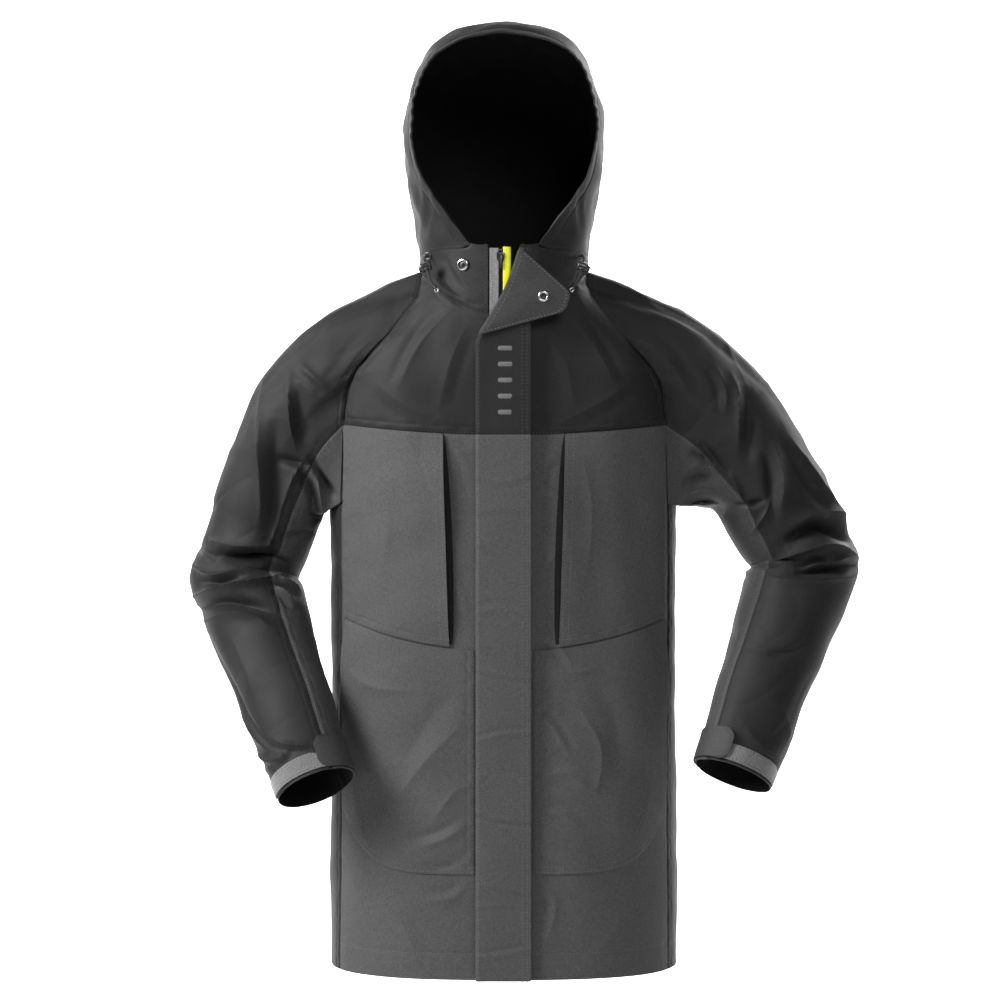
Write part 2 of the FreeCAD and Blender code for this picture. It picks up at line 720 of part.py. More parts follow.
def cord_path(points):
    """Straight runs joined by tangent arcs, as large as the two runs allow."""
    edges = []
    start = points[0]
    radii = []
    for before, corner, after in zip(points, points[1:], points[2:]):
        a, b = before - corner, after - corner
        shorter = min(a.Length, b.Length)
        a.normalize()
        b.normalize()
        cut = 0.45 * shorter
        turn = math.pi - a.getAngle(b)
        radii.append(cut / math.tan(turn / 2))
        p, q = corner + a * cut, corner + b * cut
        towards = a + b
        towards.normalize()
        bend = corner + towards * (radii[-1] / math.cos(turn / 2) - radii[-1])
        edges.append(Part.LineSegment(start, p).toShape())
        edges.append(Part.Arc(p, bend, q).toShape())
        start = q
    edges.append(Part.LineSegment(start, points[-1]).toShape())
    return Part.Wire(edges), radii


def mirrored(shape):
    return shape.mirror(V(0, 0, 0), V(1, 0, 0))


def hood_cord():
    points = [V(*p) for p in CORD_ROUTE]
    path, radii = cord_path(points)
    profile = Part.Wire(Part.makeCircle(CORD_R, points[0], points[1] - points[0]))
    tube = path.makePipeShell([profile], True, False)
    print("cord length %.1f, volume %.1f, section x length %.1f, radii %s" % (
        path.Length, tube.Volume, math.pi * CORD_R ** 2 * path.Length,
        " ".join("%.1f" % r for r in radii)))
    knot = Part.makeSphere(2.9, points[-1] + (points[-1] - points[-2]) * (2.2 / 9.0))
    return tube.fuse(knot)


def lock_frame():
    """The straight run of the cord that the lock slides on."""
    top, bottom = V(*CORD_ROUTE[3]), V(*CORD_ROUTE[4])
    along = bottom - top
    along.normalize()
    middle = top + (bottom - top) * LOCK_SHARE
    across = V(-0.93, 0.36, 0)
    across = across - along * across.dot(along)
    across.normalize()
    return middle, along, across


def cord_lock():
    """A barrel with a cross hole for the cord and a socket for its button."""
    middle, along, across = lock_frame()
    barrel = Part.makeCylinder(5.5, 12.6, middle - across * 6.3, across)
    barrel = barrel.makeFillet(0.8, barrel.Edges[:1])
    hole = Part.makeCylinder(CORD_R + 0.5, 14, middle - along * 7, along)
    socket = Part.makeCylinder(3.9, 3.6, middle + across * 2.9, across)
    return barrel.cut(hole).cut(socket)


def cord_lock_button():
    middle, along, across = lock_frame()
    stem = Part.makeCylinder(3.6, 3.5, middle + across * 5.0, across)
    head = Part.makeCylinder(3.6, 0.6, middle + across * 8.4, across)
    return stem.fuse(head)


def cord_eyelets():
    """A rolled ring round each cord exit, in the collar."""
    out = V(*CORD_ROUTE[1]) - V(*CORD_ROUTE[0])
    out.normalize()
    ring_shape = Part.makeTorus(3.6, 1.0, V(*CORD_EXIT) + out * 1.9, out)
    return Part.makeCompound([ring_shape, mirrored(ring_shape)])


# ---- write the parts ------------------------------------------------------------------------
def build():
    made = {
        "side_panel_right": side_panel("right"), "side_panel_left": side_panel("left"),
        "back_panel": back_panel(), "back_yoke": back_yoke(), "collar": collar(),
        "hanger_loop": hanger_loop(), "chin_guard": chin_guard(), "zip_teeth": zip_teeth(),
        "zip_slider": zip_slider(), "zip_pull": zip_pull(), "inner_placket": inner_placket(),
        "storm_flap": storm_flap(), "storm_flap_bend": storm_flap_bend(),
        "flap_corner": flap_corner(), "snap_socket": snap_socket(), "snap_stud": snap_stud(),
        "flap_hook_patches": flap_hook_patches(), "front_loop_patches": front_loop_patches(),
        "cord_eyelets": cord_eyelets(),
    }
    for name in SIDES:
        made["front_panel_" + name] = front_panel(name)
        made["front_yoke_" + name] = front_yoke(name)
        made["zip_tape_" + name] = zip_tape(name)
        made["chest_pocket_" + name] = pocket(name, lambda x: pocket_seam(x) + POCKET_GAP,
                                                lambda x: YOKE_Z - 6, POCKET_SLIT_X, 176,
                                                CHEST_MOUTH)
        made["lower_pocket_" + name] = pocket(name, lower_pocket_foot,
                                                lambda x: pocket_seam(x) - POCKET_GAP,
                                                POCKET_OUTER_X, 34, LOWER_MOUTH)
    made.update(hood_nodes())
    for name, spec in SLEEVES.items():
        made.update(sleeve_nodes(name, spec))
        made["cuff_loop_band_" + name] = cuff_loop_band(spec)
        made["cuff_tab_" + name] = cuff_tab(spec)
    for label, shape in (("hood_cord", hood_cord()), ("cord_lock", cord_lock()),
                         ("cord_lock_button", cord_lock_button())):
        made[label + "_right"] = shape
        made[label + "_left"] = mirrored(shape)
    return made


os.makedirs("parts", exist_ok=True)
for node, shape in build().items():
    shape.exportStep("parts/%s.step" % node)
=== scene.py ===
import math

import bpy
import numpy as np
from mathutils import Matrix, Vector


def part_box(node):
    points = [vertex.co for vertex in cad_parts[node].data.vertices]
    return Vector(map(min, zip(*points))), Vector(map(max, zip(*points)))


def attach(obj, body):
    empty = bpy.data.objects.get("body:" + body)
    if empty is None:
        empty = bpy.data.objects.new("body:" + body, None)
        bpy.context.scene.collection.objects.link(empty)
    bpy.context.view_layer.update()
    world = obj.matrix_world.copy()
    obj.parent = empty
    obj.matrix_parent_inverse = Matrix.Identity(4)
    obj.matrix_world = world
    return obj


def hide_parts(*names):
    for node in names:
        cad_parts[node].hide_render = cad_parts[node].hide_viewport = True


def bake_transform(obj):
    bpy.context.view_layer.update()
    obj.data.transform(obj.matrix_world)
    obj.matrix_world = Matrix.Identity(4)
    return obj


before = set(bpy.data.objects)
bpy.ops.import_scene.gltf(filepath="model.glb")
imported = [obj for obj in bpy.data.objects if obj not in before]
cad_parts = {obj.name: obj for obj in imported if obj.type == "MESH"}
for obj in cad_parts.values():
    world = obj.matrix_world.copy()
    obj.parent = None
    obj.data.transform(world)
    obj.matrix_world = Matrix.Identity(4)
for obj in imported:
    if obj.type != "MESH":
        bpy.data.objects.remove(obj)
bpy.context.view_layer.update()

# Foul weather jacket as worn. Shapes are worked out in millimetres in the row frame
# and become metres when a mesh is made. The front faces -Y, +X is the wearer's left.

MM = 0.001


def low(node):
    return np.array(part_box(node)[0]) / MM


def high(node):
    return np.array(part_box(node)[1]) / MM


def node_centre(node):
    return (low(node) + high(node)) / 2


# ---- driving dimensions, from the frame where a node gives them ------------------------
HEM_Z = low("back_panel")[2]
YOKE_Z = low("front_yoke_left")[2] - 0.6      # the seam, half a seam gap under the yoke
COLLAR_TOP = high("collar")[2]
COLLAR_HALF_WIDTH = 98.0
COLLAR_BACK_Y = high("collar")[1] - 0.6
COLLAR_POWER = 2.2
COLLAR_DROP = 38.0
COLLAR_RISE = 20.0
ARMPIT_Z = -250.0
SIDE_SEAM_X = high("front_panel_left")[0]
YOKE_RISE = 13.0
FRONT_Y0 = -115.0
FRONT_SLOPE = 0.0384
TORSO_POWER = 2.6
HALF_WIDTHS = [(HEM_Z, 199), (-500, 199), (ARMPIT_Z, 201), (-150, 203), (-100, 196),
               (-60, 172), (-25, 135), (0, 108), (40, 100)]
BACK_DEPTHS = [(HEM_Z, 118), (-300, 120), (-160, 121), (-60, 108), (0, 84), (40, 80)]
RAGLAN_SEAM = [(ARMPIT_Z, 188), (-150, 184), (-119, 181), (-96, 170), (-55, 132),
               (-12, 99), (24, 94)]
ZIP_X = (low("zip_teeth")[0] + high("zip_teeth")[0]) / 2
ZIP_TOP = 34.0
ZIP_BOTTOM = -766.0
TAPE_HALF = 11.0
FLAP_LEFT = high("storm_flap")[0]
FLAP_RIGHT = low("storm_flap")[0]
FLAP_DEPTH = 6.0
FLAP_THICK = 1.8
FOLD_A = np.array([-29.0, -62.0])
FOLD_B = np.array([18.0, 37.0])
FOLD_DEPTH = 10.8
SLEEVES = {
    "right": {"side": -1, "top": (-332, -2, -222), "armpit": (-214, -2, -268),
              "elbow": (-303, 5, -340), "cuff": (-209, -147, -566), "shoulder": 50},
    "left": {"side": 1, "top": (366, 0, -204), "armpit": (246, 0, -258),
             "elbow": (352, 5, -322), "cuff": (258, -104, -557), "shoulder": 41},
}
ELBOW_R = 61.0
CUFF_R = 45.0
ELBOW_HALF = 40.0
SIDES = {"right": -1, "left": 1}


# ---- number helpers --------------------------------------------------------------------
def lookup(table, x):
    keys, values = zip(*table)
    return np.interp(x, keys, values)


def ease(low_x, high_x, x):
    t = np.clip((x - low_x) / (high_x - low_x), 0, 1)
    return t * t * (3 - 2 * t)


def unit(v):
    return v / np.maximum(np.linalg.norm(v, axis=-1, keepdims=True), 1e-9)


def arc_lengths(points):
    """Distance along a line of points, from its start to each of them."""
    return np.concatenate([[0], np.cumsum(np.linalg.norm(np.diff(points, axis=0), axis=1))])


def along_line(at, lengths, values):
    """Values such as points or normals, read off a line at the distances asked for."""
    return np.stack([np.interp(at, lengths, column) for column in values.T], -1)


def unit_grid(rows, columns):
    """Shares from 0 to 1 down the rows and across the columns of a grid."""
    return np.linspace(0, 1, rows)[:, None], np.linspace(0, 1, columns)[None, :]


def smooth_line(points, share):
    """Catmull-Rom through evenly spaced points (first axis), at shares 0 to 1."""
    points = np.asarray(points, float)
    share = np.atleast_1d(np.asarray(share, float))
    count = len(points)
    padded = np.concatenate([[2 * points[0] - points[1]], points, [2 * points[-1] - points[-2]]])
    place = np.clip(share, 0, 1) * (count - 1)
    k = np.minimum(place.astype(int), count - 2)
    t = (place - k).reshape((-1,) + (1,) * (points.ndim - 1))
    a, b, c, d = padded[k], padded[k + 1], padded[k + 2], padded[k + 3]
    return b + 0.5 * t * (c - a + t * (2 * a - 5 * b + 4 * c - d + t * (3 * (b - c) + d - a)))


def smooth_ring(points, turns, flat=False):
    """The same round a closed ring of points, or of plain values; turns count points."""
    points = np.asarray(points, float)
    turns = np.asarray(turns, float)
    count = len(points)
    k = np.floor(turns).astype(int)
    t = turns - k if flat else (turns - k)[:, None]
    a, b, c, d = (points[(k + i) % count] for i in (-1, 0, 1, 2))
    return b + 0.5 * t * (c - a + t * (2 * a - 5 * b + 4 * c - d + t * (3 * (b - c) + d - a)))


def waves(p, length, seed, count=7):
    """A soft, fixed undulation of about +-1 over points p, from a few slanted sine waves."""
    draw = np.random.default_rng(seed)
    total = np.zeros(p.shape[:-1])
    for _ in range(count):
        direction = unit(draw.normal(size=3)) * (2 * math.pi / (length * draw.uniform(0.7, 1.5)))
        total += np.sin(p @ direction + draw.uniform(0, 6.28))
    return total / math.sqrt(count)


def creases(p, length, seed):
    """Sharp, branching crease lines from 0 to 1 over points p, about a length apart."""
    line = waves(p, length, seed, 5)
    share = np.clip(0.5 + 0.8 * waves(p, 1.4 * length, seed + 7, 4), 0, 1)
    return np.exp(-np.abs(line) * 3.2) * share


def grid_normals(p, inside):
    """Unit normals of a grid of points, away from the inside point or points."""
    n = unit(np.cross(np.gradient(p, axis=0), np.gradient(p, axis=1)))
    if np.sum(n * (p - inside)) < 0:
        n = -n
    return n


def fold_height(p, folds):
    """Height of listed folds over points p, seen from the front (x and z).

    Each fold is (points, width, height, valley): a ridge along its points, with a valley
    of that share beside it, on the right of its direction if valley is positive."""
    total = np.zeros(p.shape[:-1])
    xz = p[..., [0, 2]]
    for points, width, height, valley in folds:
        line = smooth_line(np.array(points, float), np.linspace(0, 1, 5 * len(points)))
        along = arc_lengths(line)
        steps = np.diff(along)
        best = np.full(xz.shape[:-1], 1e9)
        signed = np.zeros_like(best)
        where = np.zeros_like(best)
        for a, b, start, step in zip(line, line[1:], along, steps):
            d = (b - a) / step
            rel = xz - a
            t = np.clip(rel @ d, 0, step)
            off = rel - t[..., None] * d
            dist = np.linalg.norm(off, axis=-1)
            near = dist < best
            best = np.where(near, dist, best)
            side = rel[..., 0] * d[1] - rel[..., 1] * d[0]
            signed = np.where(near, np.copysign(dist, side), signed)
            where = np.where(near, (start + t) / along[-1], where)
        taper = np.sin(np.pi * np.clip(where, 0.02, 0.98)) ** 0.7
        s = signed / width
        shape = np.exp(-1.5 * np.abs(s)) if height > 0 else np.exp(-1.2 * np.abs(s) ** 1.7)
        if valley:
            shape = shape - abs(valley) * np.exp(-((s - 1.3 * np.sign(valley)) / 0.6) ** 2)
        total += height * taper * shape
    return total


# ---- mesh building ---------------------------------------------------------------------
class Build:
    """Collects vertices and faces with a material each, and makes one mesh object."""

    def __init__(self):
        self.points, self.faces, self.slots, self.uvs = [], [], [], []
        self.count = 0

    def add(self, points, faces, slot=0, uv=None):
        points = np.asarray(points, float).reshape(-1, 3)
        faces = np.asarray(faces, int)
        self.points.append(points)
        for face in faces.tolist():
            self.faces.append([i + self.count for i in face])
        slots = np.full(len(faces), slot) if np.isscalar(slot) else slot
        self.slots.append(np.asarray(slots, int))
        self.uvs.append(points[:, [0, 2]] if uv is None else np.asarray(uv, float).reshape(-1, 2))
        self.count += len(points)

    def close(self, count, rings, slot=0):
        """Closes the first and the last ring of the points added last."""
        first = self.count - rings * count
        last = self.count - count
        self.faces.append([first + i for i in range(count)][::-1])
        self.faces.append([last + i for i in range(count)])
        self.slots.append(np.full(2, slot))

    def object(self, name, materials, sharp=40):
        mesh = bpy.data.meshes.new(name)
        points = np.concatenate(self.points) * MM
        mesh.from_pydata(points.tolist(), [], self.faces)
        for material in materials:
            mesh.materials.append(material)
        mesh.polygons.foreach_set("material_index", np.concatenate(self.slots))
        layer = mesh.uv_layers.new(name="cloth")
        corner = np.zeros(len(mesh.loops), np.int32)
        mesh.loops.foreach_get("vertex_index", corner)
        uvs = (np.concatenate(self.uvs) * MM)[corner]
        layer.data.foreach_set("uv", uvs.astype(np.float32).ravel())
        mesh.shade_smooth()
        mesh.set_sharp_from_angle(angle=math.radians(sharp))
        mesh.validate()
        made = bpy.data.objects.new(name, mesh)
        bpy.context.collection.objects.link(made)
        return made


def quads(rows, columns, closed=False):
    """Faces of a grid of points, row by row."""
    wide = columns if closed else columns - 1
    i, j = np.meshgrid(np.arange(rows - 1), np.arange(wide), indexing="ij")
    k = (j + 1) % columns
    a, b = i * columns + j, i * columns + k
    return np.stack([a, b, b + columns, a + columns], -1).reshape(-1, 4)


def cloth_uv(p):
    """Distances along a sheet, across and up, so that a weave keeps its size."""
    across = np.concatenate([np.zeros((len(p), 1)),
                             np.cumsum(np.linalg.norm(np.diff(p, axis=1), axis=2), axis=1)], 1)
    up = np.concatenate([[0], np.cumsum(np.linalg.norm(np.diff(p, axis=0), axis=2).mean(1))])
    middle = across[:, across.shape[1] // 2][:, None]
    return np.stack([across - middle, np.broadcast_to(up[:, None], across.shape)], -1)


def add_sheet(build, p, n, thickness, outer=0, inner=1):
    """A closed sheet: the outer grid p, an inner grid under it, and the rim between."""
    rows, columns = p.shape[:2]
    faces = quads(rows, columns)
    flip = np.sum(np.cross(p[1:, :-1] - p[:-1, :-1], p[:-1, 1:] - p[:-1, :-1])
                  * n[:-1, :-1]) > 0
    if flip:
        faces = faces[:, ::-1]
    size = rows * columns
    back = faces[:, ::-1] + size
    grid = np.arange(size).reshape(rows, columns)
    ring = np.concatenate([grid[0], grid[1:, -1], grid[-1, -2::-1], grid[-2:0:-1, 0]])
    after = np.roll(ring, -1)
    rim = np.stack([ring, after, after + size, ring + size], -1)
    if not flip:
        rim = rim[:, ::-1]
    points = np.concatenate([p.reshape(-1, 3), (p - n * thickness).reshape(-1, 3)])
    slots = np.concatenate([np.full(len(faces), outer), np.full(len(back), inner),
                            np.full(len(rim), outer)])
    build.add(points, np.concatenate([faces, back, rim]), slots,
              np.concatenate([cloth_uv(p).reshape(-1, 2)] * 2))


def edge_distances(p):
    """Distance over the sheet from each edge: columns' start and end, rows' start and end."""
    across = np.cumsum(np.linalg.norm(np.diff(p, axis=1, prepend=p[:, :1]), axis=2), axis=1)
    up = np.cumsum(np.linalg.norm(np.diff(p, axis=0, prepend=p[:1]), axis=2), axis=0)
    return {"left": across, "right": across[:, -1:] - across, "low": up, "high": up[-1:] - up}


def inset(p, n, edge, distance, start=0.0, end=1.0):
    """A line of points and normals at a distance from one edge of a sheet."""
    gap = edge_distances(p)[edge]
    if edge in ("left", "right"):
        lines = [(p[i], n[i], gap[i]) for i in range(len(p))]
    else:
        lines = [(p[:, j], n[:, j], gap[:, j]) for j in range(p.shape[1])]
    lines = lines[int(start * (len(lines) - 1)):int(end * (len(lines) - 1)) + 1]
    out = []
    for points, normals, away in lines:
        order = np.argsort(away)
        out.append([np.interp(distance, away[order], v[order, k]) for v in (points, normals)
                    for k in range(3)])
    out = np.array(out)
    return out[:, :3], unit(out[:, 3:])


def resample(points, normals, step):
    """Evenly spaced points and normals along a line, about a step apart."""
    lengths = arc_lengths(points)
    at = np.linspace(0, lengths[-1], max(int(lengths[-1] / step), 2))
    return along_line(at, lengths, points), unit(along_line(at, lengths, normals))


SPINDLE = np.array([[0, 2, 3], [0, 3, 4], [0, 4, 5], [0, 5, 2],
                    [1, 3, 2], [1, 4, 3], [1, 5, 4], [1, 2, 5]])


def add_spindles(build, corners, slot=0):
    """Slim diamonds, from lists of their two ends and the four corners between."""
    base = np.arange(len(corners[0]))[:, None, None] * len(corners)
    build.add(np.stack(corners, 1).reshape(-1, 3), (base + SPINDLE).reshape(-1, 3), slot)


def add_stitches(build, line, slot=2, length=3.0, pitch=4.0, wide=0.5, tall=0.36):
    """A row of stitches along a line of points and normals, each a slim spindle."""
    points, normals = resample(line[0], line[1], pitch)
    if len(points) < 3:
        return
    along = unit(np.gradient(points, axis=0))
    side = unit(np.cross(along, normals))
    sunk = points - normals * 0.15
    add_spindles(build, [sunk - along * length / 2, sunk + along * length / 2,
                         points + side * wide, points + normals * tall,
                         points - side * wide, points - normals * 0.3], slot)


def seam_dip(p, n, edges, depth=1.1, reach=2.6, groove=8.5):
    """Presses a sheet down along its sewn edges, with the pucker and groove of topstitching."""
    gaps = edge_distances(p)
    drop = sum(np.exp(-(gaps[e] / reach) ** 2) for e in edges)
    drop = depth * np.clip(drop, 0, 1)
    for e in edges:
        near = np.exp(-((gaps[e] - 6) / 6) ** 2)
        drop = drop + 0.28 * near * waves(p, 10, 81, 5)
        drop = drop + 0.4 * np.exp(-((gaps[e] - groove) / 1.5) ** 2)
    return p - n * drop[..., None]


def hem_groove(p, n):
    """The groove of the hem's topstitching, 29 mm above its edge, and the pucker below it."""
    gap = edge_distances(p)["low"]
    drop = 0.7 * np.exp(-((gap - 29) / 1.8) ** 2)
    drop = drop + 0.25 * waves(p, 14, 83, 5) * np.exp(-((gap - 22) / 12) ** 2)
    return p - n * drop[..., None]


def revolve(profile, centre, axis, count):
    """A turned piece: profile is (radius, height) points along the axis."""
    axis = unit(np.array(axis, float))
    helper = np.array([0, 0, 1.0]) if abs(axis[2]) < 0.9 else np.array([1.0, 0, 0])
    u = unit(np.cross(axis, helper))
    v = np.cross(axis, u)
    turn = np.linspace(0, 2 * math.pi, count, endpoint=False)
    ring = np.cos(turn)[:, None] * u + np.sin(turn)[:, None] * v
    points = np.array([centre + ring * r + axis * h for r, h in profile])
    return points.reshape(-1, 3), quads(len(profile), count, closed=True)


def add_turned(build, profile, centre, axis, count, slot=0):
    build.add(*revolve(profile, centre, axis, count), slot)


def sweep(points, radius, count=8, normal=(0, 0, 1)):
    """A round bar along points, with closed ends."""
    points = np.asarray(points, float)
    along = unit(np.gradient(points, axis=0))
    u = unit(np.cross(along, np.broadcast_to(np.array(normal, float), along.shape)))
    v = np.cross(along, u)
    turn = np.linspace(0, 2 * math.pi, count, endpoint=False)[None, :, None]
    radius = np.broadcast_to(np.asarray(radius, float), (len(points),))[:, None, None]
    rings = points[:, None] + radius * (np.cos(turn) * u[:, None] + np.sin(turn) * v[:, None])
    verts = np.concatenate([rings.reshape(-1, 3), points[:1], points[-1:]])
    faces = quads(len(points), count, closed=True).tolist()
    last = (len(points) - 1) * count
    centre = len(points) * count
    caps = [[centre, (j + 1) % count, j] for j in range(count)]
    caps += [[centre + 1, last + j, last + (j + 1) % count] for j in range(count)]
    return verts, faces, caps


def add_bar(build, points, radius, slot=0, count=8, normal=(0, 0, 1)):
    verts, faces, caps = sweep(points, radius, count, normal)
    start = build.count
    build.points.append(verts)
    build.uvs.append(verts[:, [0, 2]])
    build.faces += [[i + start for i in face] for face in faces + caps]
    build.slots.append(np.full(len(faces) + len(caps), slot))
    build.count += len(verts)


# ---- materials -------------------------------------------------------------------------
def new_material(name, colour, roughness, metallic=0.0):
    material = bpy.data.materials.new(name)
    material.use_nodes = True
    shader = material.node_tree.nodes["Principled BSDF"]
    shader.inputs["Base Color"].default_value = (*colour, 1)
    shader.inputs["Roughness"].default_value = roughness
    shader.inputs["Metallic"].default_value = metallic
    return material, material.node_tree, shader


def node(tree, kind, inputs, **settings):
    """A new node with its settings, and its inputs set to values or linked to sockets."""
    made = tree.nodes.new(kind)
    for key, value in settings.items():
        setattr(made, key, value)
    for key, value in inputs.items():
        if isinstance(value, bpy.types.NodeSocket):
            tree.links.new(value, made.inputs[key])
        else:
            made.inputs[key].default_value = value
    return made


def noise(tree, place, scale, detail):
    return node(tree, "ShaderNodeTexNoise",
                {"Scale": scale, "Detail": detail, "Vector": place}).outputs["Fac"]


def own_place(tree):
    """Coordinates that stay with the object."""
    return node(tree, "ShaderNodeTexCoord", {}).outputs["Object"]


def tint(colour, share):
    """A colour made lighter or darker by a share, as an RGBA value."""
    return tuple(min(c * share, 1) for c in colour) + (1,)


def mixed(tree, factor, a, b):
    return node(tree, "ShaderNodeMix", {0: factor, 6: a, 7: b}, data_type="RGBA").outputs[2]


def add_relief(tree, shader, height, strength, distance):
    bump = node(tree, "ShaderNodeBump",
                {"Strength": strength, "Distance": distance, "Height": height})
    tree.links.new(bump.outputs["Normal"], shader.inputs["Normal"])


def vary_roughness(tree, shader, factor, low_value, high_value):
    rough = node(tree, "ShaderNodeMapRange",
                 {"To Min": low_value, "To Max": high_value, "Value": factor})
    tree.links.new(rough.outputs["Result"], shader.inputs["Roughness"])


def fabric(name, colour, roughness=0.62, sheen=0.15, weave=0.0011, depth=0.5, mottle=0.16,
           fleck=0.5, shine=0.25):
    """Woven cloth: a fine plain weave, uneven dye, faint flecks and a little sheen."""
    material, tree, shader = new_material(name, colour, roughness)
    cloth_place = node(tree, "ShaderNodeUVMap", {}, uv_map="cloth").outputs[0]
    threads = [node(tree, "ShaderNodeTexWave",
                    {"Scale": 0.314 / weave, "Distortion": 1.2, "Detail": 2.0,
                     "Detail Scale": 2.0, "Vector": cloth_place},
                    wave_type="BANDS", bands_direction=direction, wave_profile="SIN")
               for direction in ("X", "Y")]
    warp, weft = (wave.outputs["Fac"] for wave in threads)
    cross = node(tree, "ShaderNodeMath", {0: warp, 1: weft}, operation="MULTIPLY").outputs[0]
    place = own_place(tree)
    cloud = noise(tree, place, 34.0, 6.0)
    grain = noise(tree, place, 620.0, 2.0)
    dyed = mixed(tree, cloud, tint(colour, 1 - mottle), tint(colour, 1 + mottle))
    strong = node(tree, "ShaderNodeMapRange", {"From Min": 0.34, "From Max": 0.66, "Value": grain})
    flecked = mixed(tree, strong.outputs["Result"], tint(colour, 1 - fleck),
                    tint(colour, 1 + fleck))
    thread = mixed(tree, 0.6, dyed, flecked)
    woven = mixed(tree, cross, mixed(tree, 0.5, thread, tint(colour, 0.72)), thread)
    tree.links.new(woven, shader.inputs["Base Color"])
    relief = node(tree, "ShaderNodeMath", {0: cross, 1: grain}, operation="ADD").outputs[0]
    add_relief(tree, shader, relief, depth, 0.00025)
    vary_roughness(tree, shader, cloud, roughness - 0.07, roughness + 0.07)
    shader.inputs["Sheen Weight"].default_value = sheen
    shader.inputs["Sheen Roughness"].default_value = 0.5
    shader.inputs["Specular IOR Level"].default_value = shine
    return material


def napped(name, colour, scale, depth=0.9):
    """Loop or brushed pile: a dense nap of small light and dark loops."""
    material, tree, shader = new_material(name, colour, 0.9)
    place = own_place(tree)
    loops = node(tree, "ShaderNodeTexVoronoi", {"Scale": scale, "Vector": place})
    cells = loops.outputs["Distance"]
    fuzz = noise(tree, place, scale * 0.35, 5.0)
    pile = mixed(tree, fuzz, tint(colour, 0.6), tint(colour, 1.45))
    tree.links.new(mixed(tree, cells, tint(colour, 1.3), pile), shader.inputs["Base Color"])
    add_relief(tree, shader, cells, depth, 0.0006)
    shader.inputs["Sheen Weight"].default_value = 0.5
    return material


def hard(name, colour, roughness, metallic=0.0, scale=600.0, wear=0.25, depth=0.08):
    """Moulded plastic or plated metal: faint grain, uneven gloss and rubbed patches."""
    material, tree, shader = new_material(name, colour, roughness, metallic)
    place = own_place(tree)
    grain = noise(tree, place, scale, 3.0)
    patch = noise(tree, place, scale * 0.2, 4.0)
    worn = mixed(tree, patch, tint(colour, 1 - wear), tint(colour, 1 + wear))
    tree.links.new(worn, shader.inputs["Base Color"])
    vary_roughness(tree, shader, patch, max(roughness - 0.12, 0.05), roughness + 0.12)
    add_relief(tree, shader, grain, depth, 0.0002)
    return material


BLACK = fabric("shell_black", (0.0092, 0.0092, 0.0094), 0.58, 0.02, shine=0.22)
GREY = fabric("shell_grey", (0.055, 0.055, 0.0554), 0.66, 0.02, mottle=0.12)
MID = fabric("shell_mid_grey", (0.040, 0.040, 0.0404), 0.62, 0.02)
# Painted light: the cuff tabs' black cloth is given a lighter colour, for light the tabs do not
# get.
TAB_PAINTED_LIGHT = fabric("cuff_tab_black_painted_light", (0.034, 0.034, 0.0343), 0.60, 0.02)
# Painted shade: near-black cloth laid in the chest pockets' mouths where the open edge's shadow
# falls.
MOUTH_SHADE = fabric("pocket_mouth_painted_shade", (0.004, 0.004, 0.004), 0.8, 0.0)
CORNER = fabric("flap_facing", (0.030, 0.030, 0.0303), 0.6, 0.02)
LINING = fabric("lining_black", (0.004, 0.004, 0.004), 0.9, 0.0)
THREAD_MID = hard("thread_mid", (0.075, 0.075, 0.075), 0.7, wear=0.4)
THREAD_DARK = hard("thread_dark", (0.022, 0.022, 0.022), 0.7, wear=0.4)
BLACK_SHELL = [BLACK, LINING, THREAD_DARK]
GREY_SHELL = [GREY, LINING, THREAD_MID]
MID_SHELL = [MID, LINING, THREAD_MID]
LOOP = napped("loop_tape", (0.085, 0.085, 0.085), 420.0, 1.0)
HOOK = napped("hook_tape", (0.03, 0.03, 0.03), 900.0)
YELLOW = fabric("signal_yellow", (0.66, 0.65, 0.02), 0.85, 0.1, weave=0.0016, mottle=0.10,
                fleck=0.15)
TAPE = fabric("zip_tape_grey", (0.20, 0.20, 0.199), 0.85, 0.1, weave=0.0009, depth=0.6)
TAPE_DARK = fabric("zip_tape_dark", (0.02, 0.02, 0.021), 0.85, 0.1, weave=0.0009, depth=0.6)
TEETH = hard("zip_plastic", (0.018, 0.018, 0.018), 0.35)
METAL = hard("snap_metal", (0.50, 0.495, 0.49), 0.26, 1.0, wear=0.15)
METAL_DARK = hard("snap_inner", (0.045, 0.045, 0.046), 0.4, 1.0)
EYELET = hard("eyelet_metal", (0.10, 0.10, 0.105), 0.35, 0.9)
CORD = fabric("shock_cord", (0.018, 0.018, 0.018), 0.75, 0.1, weave=0.0010, depth=0.9)
LOCK = hard("lock_plastic", (0.022, 0.022, 0.023), 0.18, wear=0.3)
REFLECT = hard("reflective_print", (0.10, 0.10, 0.102), 0.45, wear=0.15)


# ---- surfaces of the body --------------------------------------------------------------
def front_y(z):
    return FRONT_Y0 + FRONT_SLOPE * z


def torso_y(x, z, side=-1):
    half = lookup(HALF_WIDTHS, z)
    back = lookup(BACK_DEPTHS, z)
    middle, depth = (front_y(z) + back) / 2, (back - front_y(z)) / 2
    share = np.clip(np.abs(x) / half, 0, 1)
    return middle + side * depth * (1 - share ** TORSO_POWER) ** (1 / TORSO_POWER)


def torso_angle(angle, z):
    half = lookup(HALF_WIDTHS, z)
    back = lookup(BACK_DEPTHS, z)
    c, s = np.cos(np.radians(angle)), np.sin(np.radians(angle))
    power = 2 / TORSO_POWER
    x = half * np.sign(c) * np.abs(c) ** power
    y = (back - front_y(z)) / 2 * np.sign(s) * np.abs(s) ** power
    return np.stack([x, (front_y(z) + back) / 2 + y, z + 0 * x], -1)


def on_torso(x, z, way=-1):
    x, z = np.broadcast_arrays(x, z)
    return np.stack([x, torso_y(x, z, way), z], -1)


